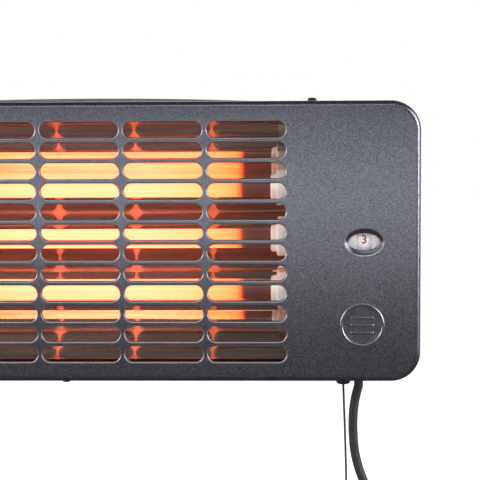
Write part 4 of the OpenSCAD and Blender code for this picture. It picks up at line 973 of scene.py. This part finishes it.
world = bpy.context.scene.world or bpy.data.worlds.new("studio")
bpy.context.scene.world = world
world.use_nodes = True
tree = world.node_tree
tree.nodes.clear()
seen, dim = rays(tree, "Generated", *stagePlan["skyFade"])
sky = addNode(tree, "Background", {"Color": mixed(tree, dim, (1, 1, 1, 1), stagePlan["room"]),
                                   "Strength": reckon(tree, "MAXIMUM", seen, stagePlan["ambient"])})
addNode(tree, "OutputWorld", {"Surface": sky.outputs["Background"]})

bpy.ops.mesh.primitive_plane_add(size=stagePlan["floorSize"], location=(0, 0, stagePlan["floorZ"]))
studioFloor = takeName("studioFloor")
floorMat, tree = newFinish("paleFloor")
tree.nodes.clear()
reach = addNode(tree, "VectorMath", {0: objectSpot(tree)}, operation="LENGTH").outputs["Value"]
near, far = stagePlan["near"], stagePlan["far"]
matt = addNode(tree, "BsdfDiffuse", {"Color": (0.9, 0.9, 0.9, 1)}).outputs["BSDF"]
lit = addNode(tree, "Emission", {"Strength": faded(tree, reach, near, far, stagePlan["nearGlow"], 1)})
both = addNode(tree, "AddShader", {0: matt, 1: lit.outputs["Emission"]})
seen, dim = rays(tree, "Object", *stagePlan["floorFade"])
plain = addNode(tree, "MixShader", {"Fac": seen, 1: matt, 2: both.outputs["Shader"]})
# a mirror sees the floor in a dim red-brown, redder far off: a painted reflection of surroundings lit by the glow
tint = mixed(tree, faded(tree, reach, near, far), stagePlan["floorReflectionNear"], stagePlan["floorReflectionFar"])
paintedFloorReflection = addNode(tree, "Emission", {"Color": tint})
chosen = addNode(tree, "MixShader", {"Fac": dim, 1: plain.outputs["Shader"], 2: paintedFloorReflection.outputs["Emission"]})
addNode(tree, "OutputMaterial", {"Surface": chosen.outputs["Shader"]})
studioFloor.data.materials.append(floorMat)

paintOnly = bpy.data.collections.new("paintOnly")
paintOnly.objects.link(frontCover)
lampPlan = {  # place, aim, width, height, power, and whether it lights the cover's paint alone
    "keySoft": ((-0.25, -2.0, 1.05), (0.0, -0.12, 0.0), 1.7, 0.6, 12, False),
    "rightSoft": ((1.25, -0.55, 0.42), (0.2, -0.1, 0.0), 0.9, 0.9, 21, False),
    "leftSoft": ((-1.25, -0.6, 0.42), (-0.1, -0.1, 0.0), 0.9, 0.9, 23, False),
    "backSoft": ((0.2, 1.2, 0.5), (0, -0.05, 0), 1.0, 0.8, 4, False),
    "paintSoft": ((0.06, -0.67, 0.004), (0.06, -0.12, 0.01), 0.9, 0.12, 1.0, True),  # the sheen across it
    "rimSoft": ((1.1, -0.4, 0.13), (0.245, -0.12, 0.02), 0.25, 0.5, 5.2, True),  # the sheen along its right rim
}
for name, (place, aim, width, height, power, linked) in lampPlan.items():
    bpy.ops.object.light_add(type="AREA", location=place)
    lamp = bpy.context.object
    lamp.name = name
    lamp.data.shape = "RECTANGLE"
    lamp.data.size = width
    lamp.data.size_y = height
    lamp.data.energy = power
    lamp.rotation_euler = (Vector(aim) - Vector(place)).to_track_quat("-Z", "Y").to_euler()
    if linked:
        lamp.light_linking.receiver_collection = paintOnly
print("stage and lights set")

putDown()
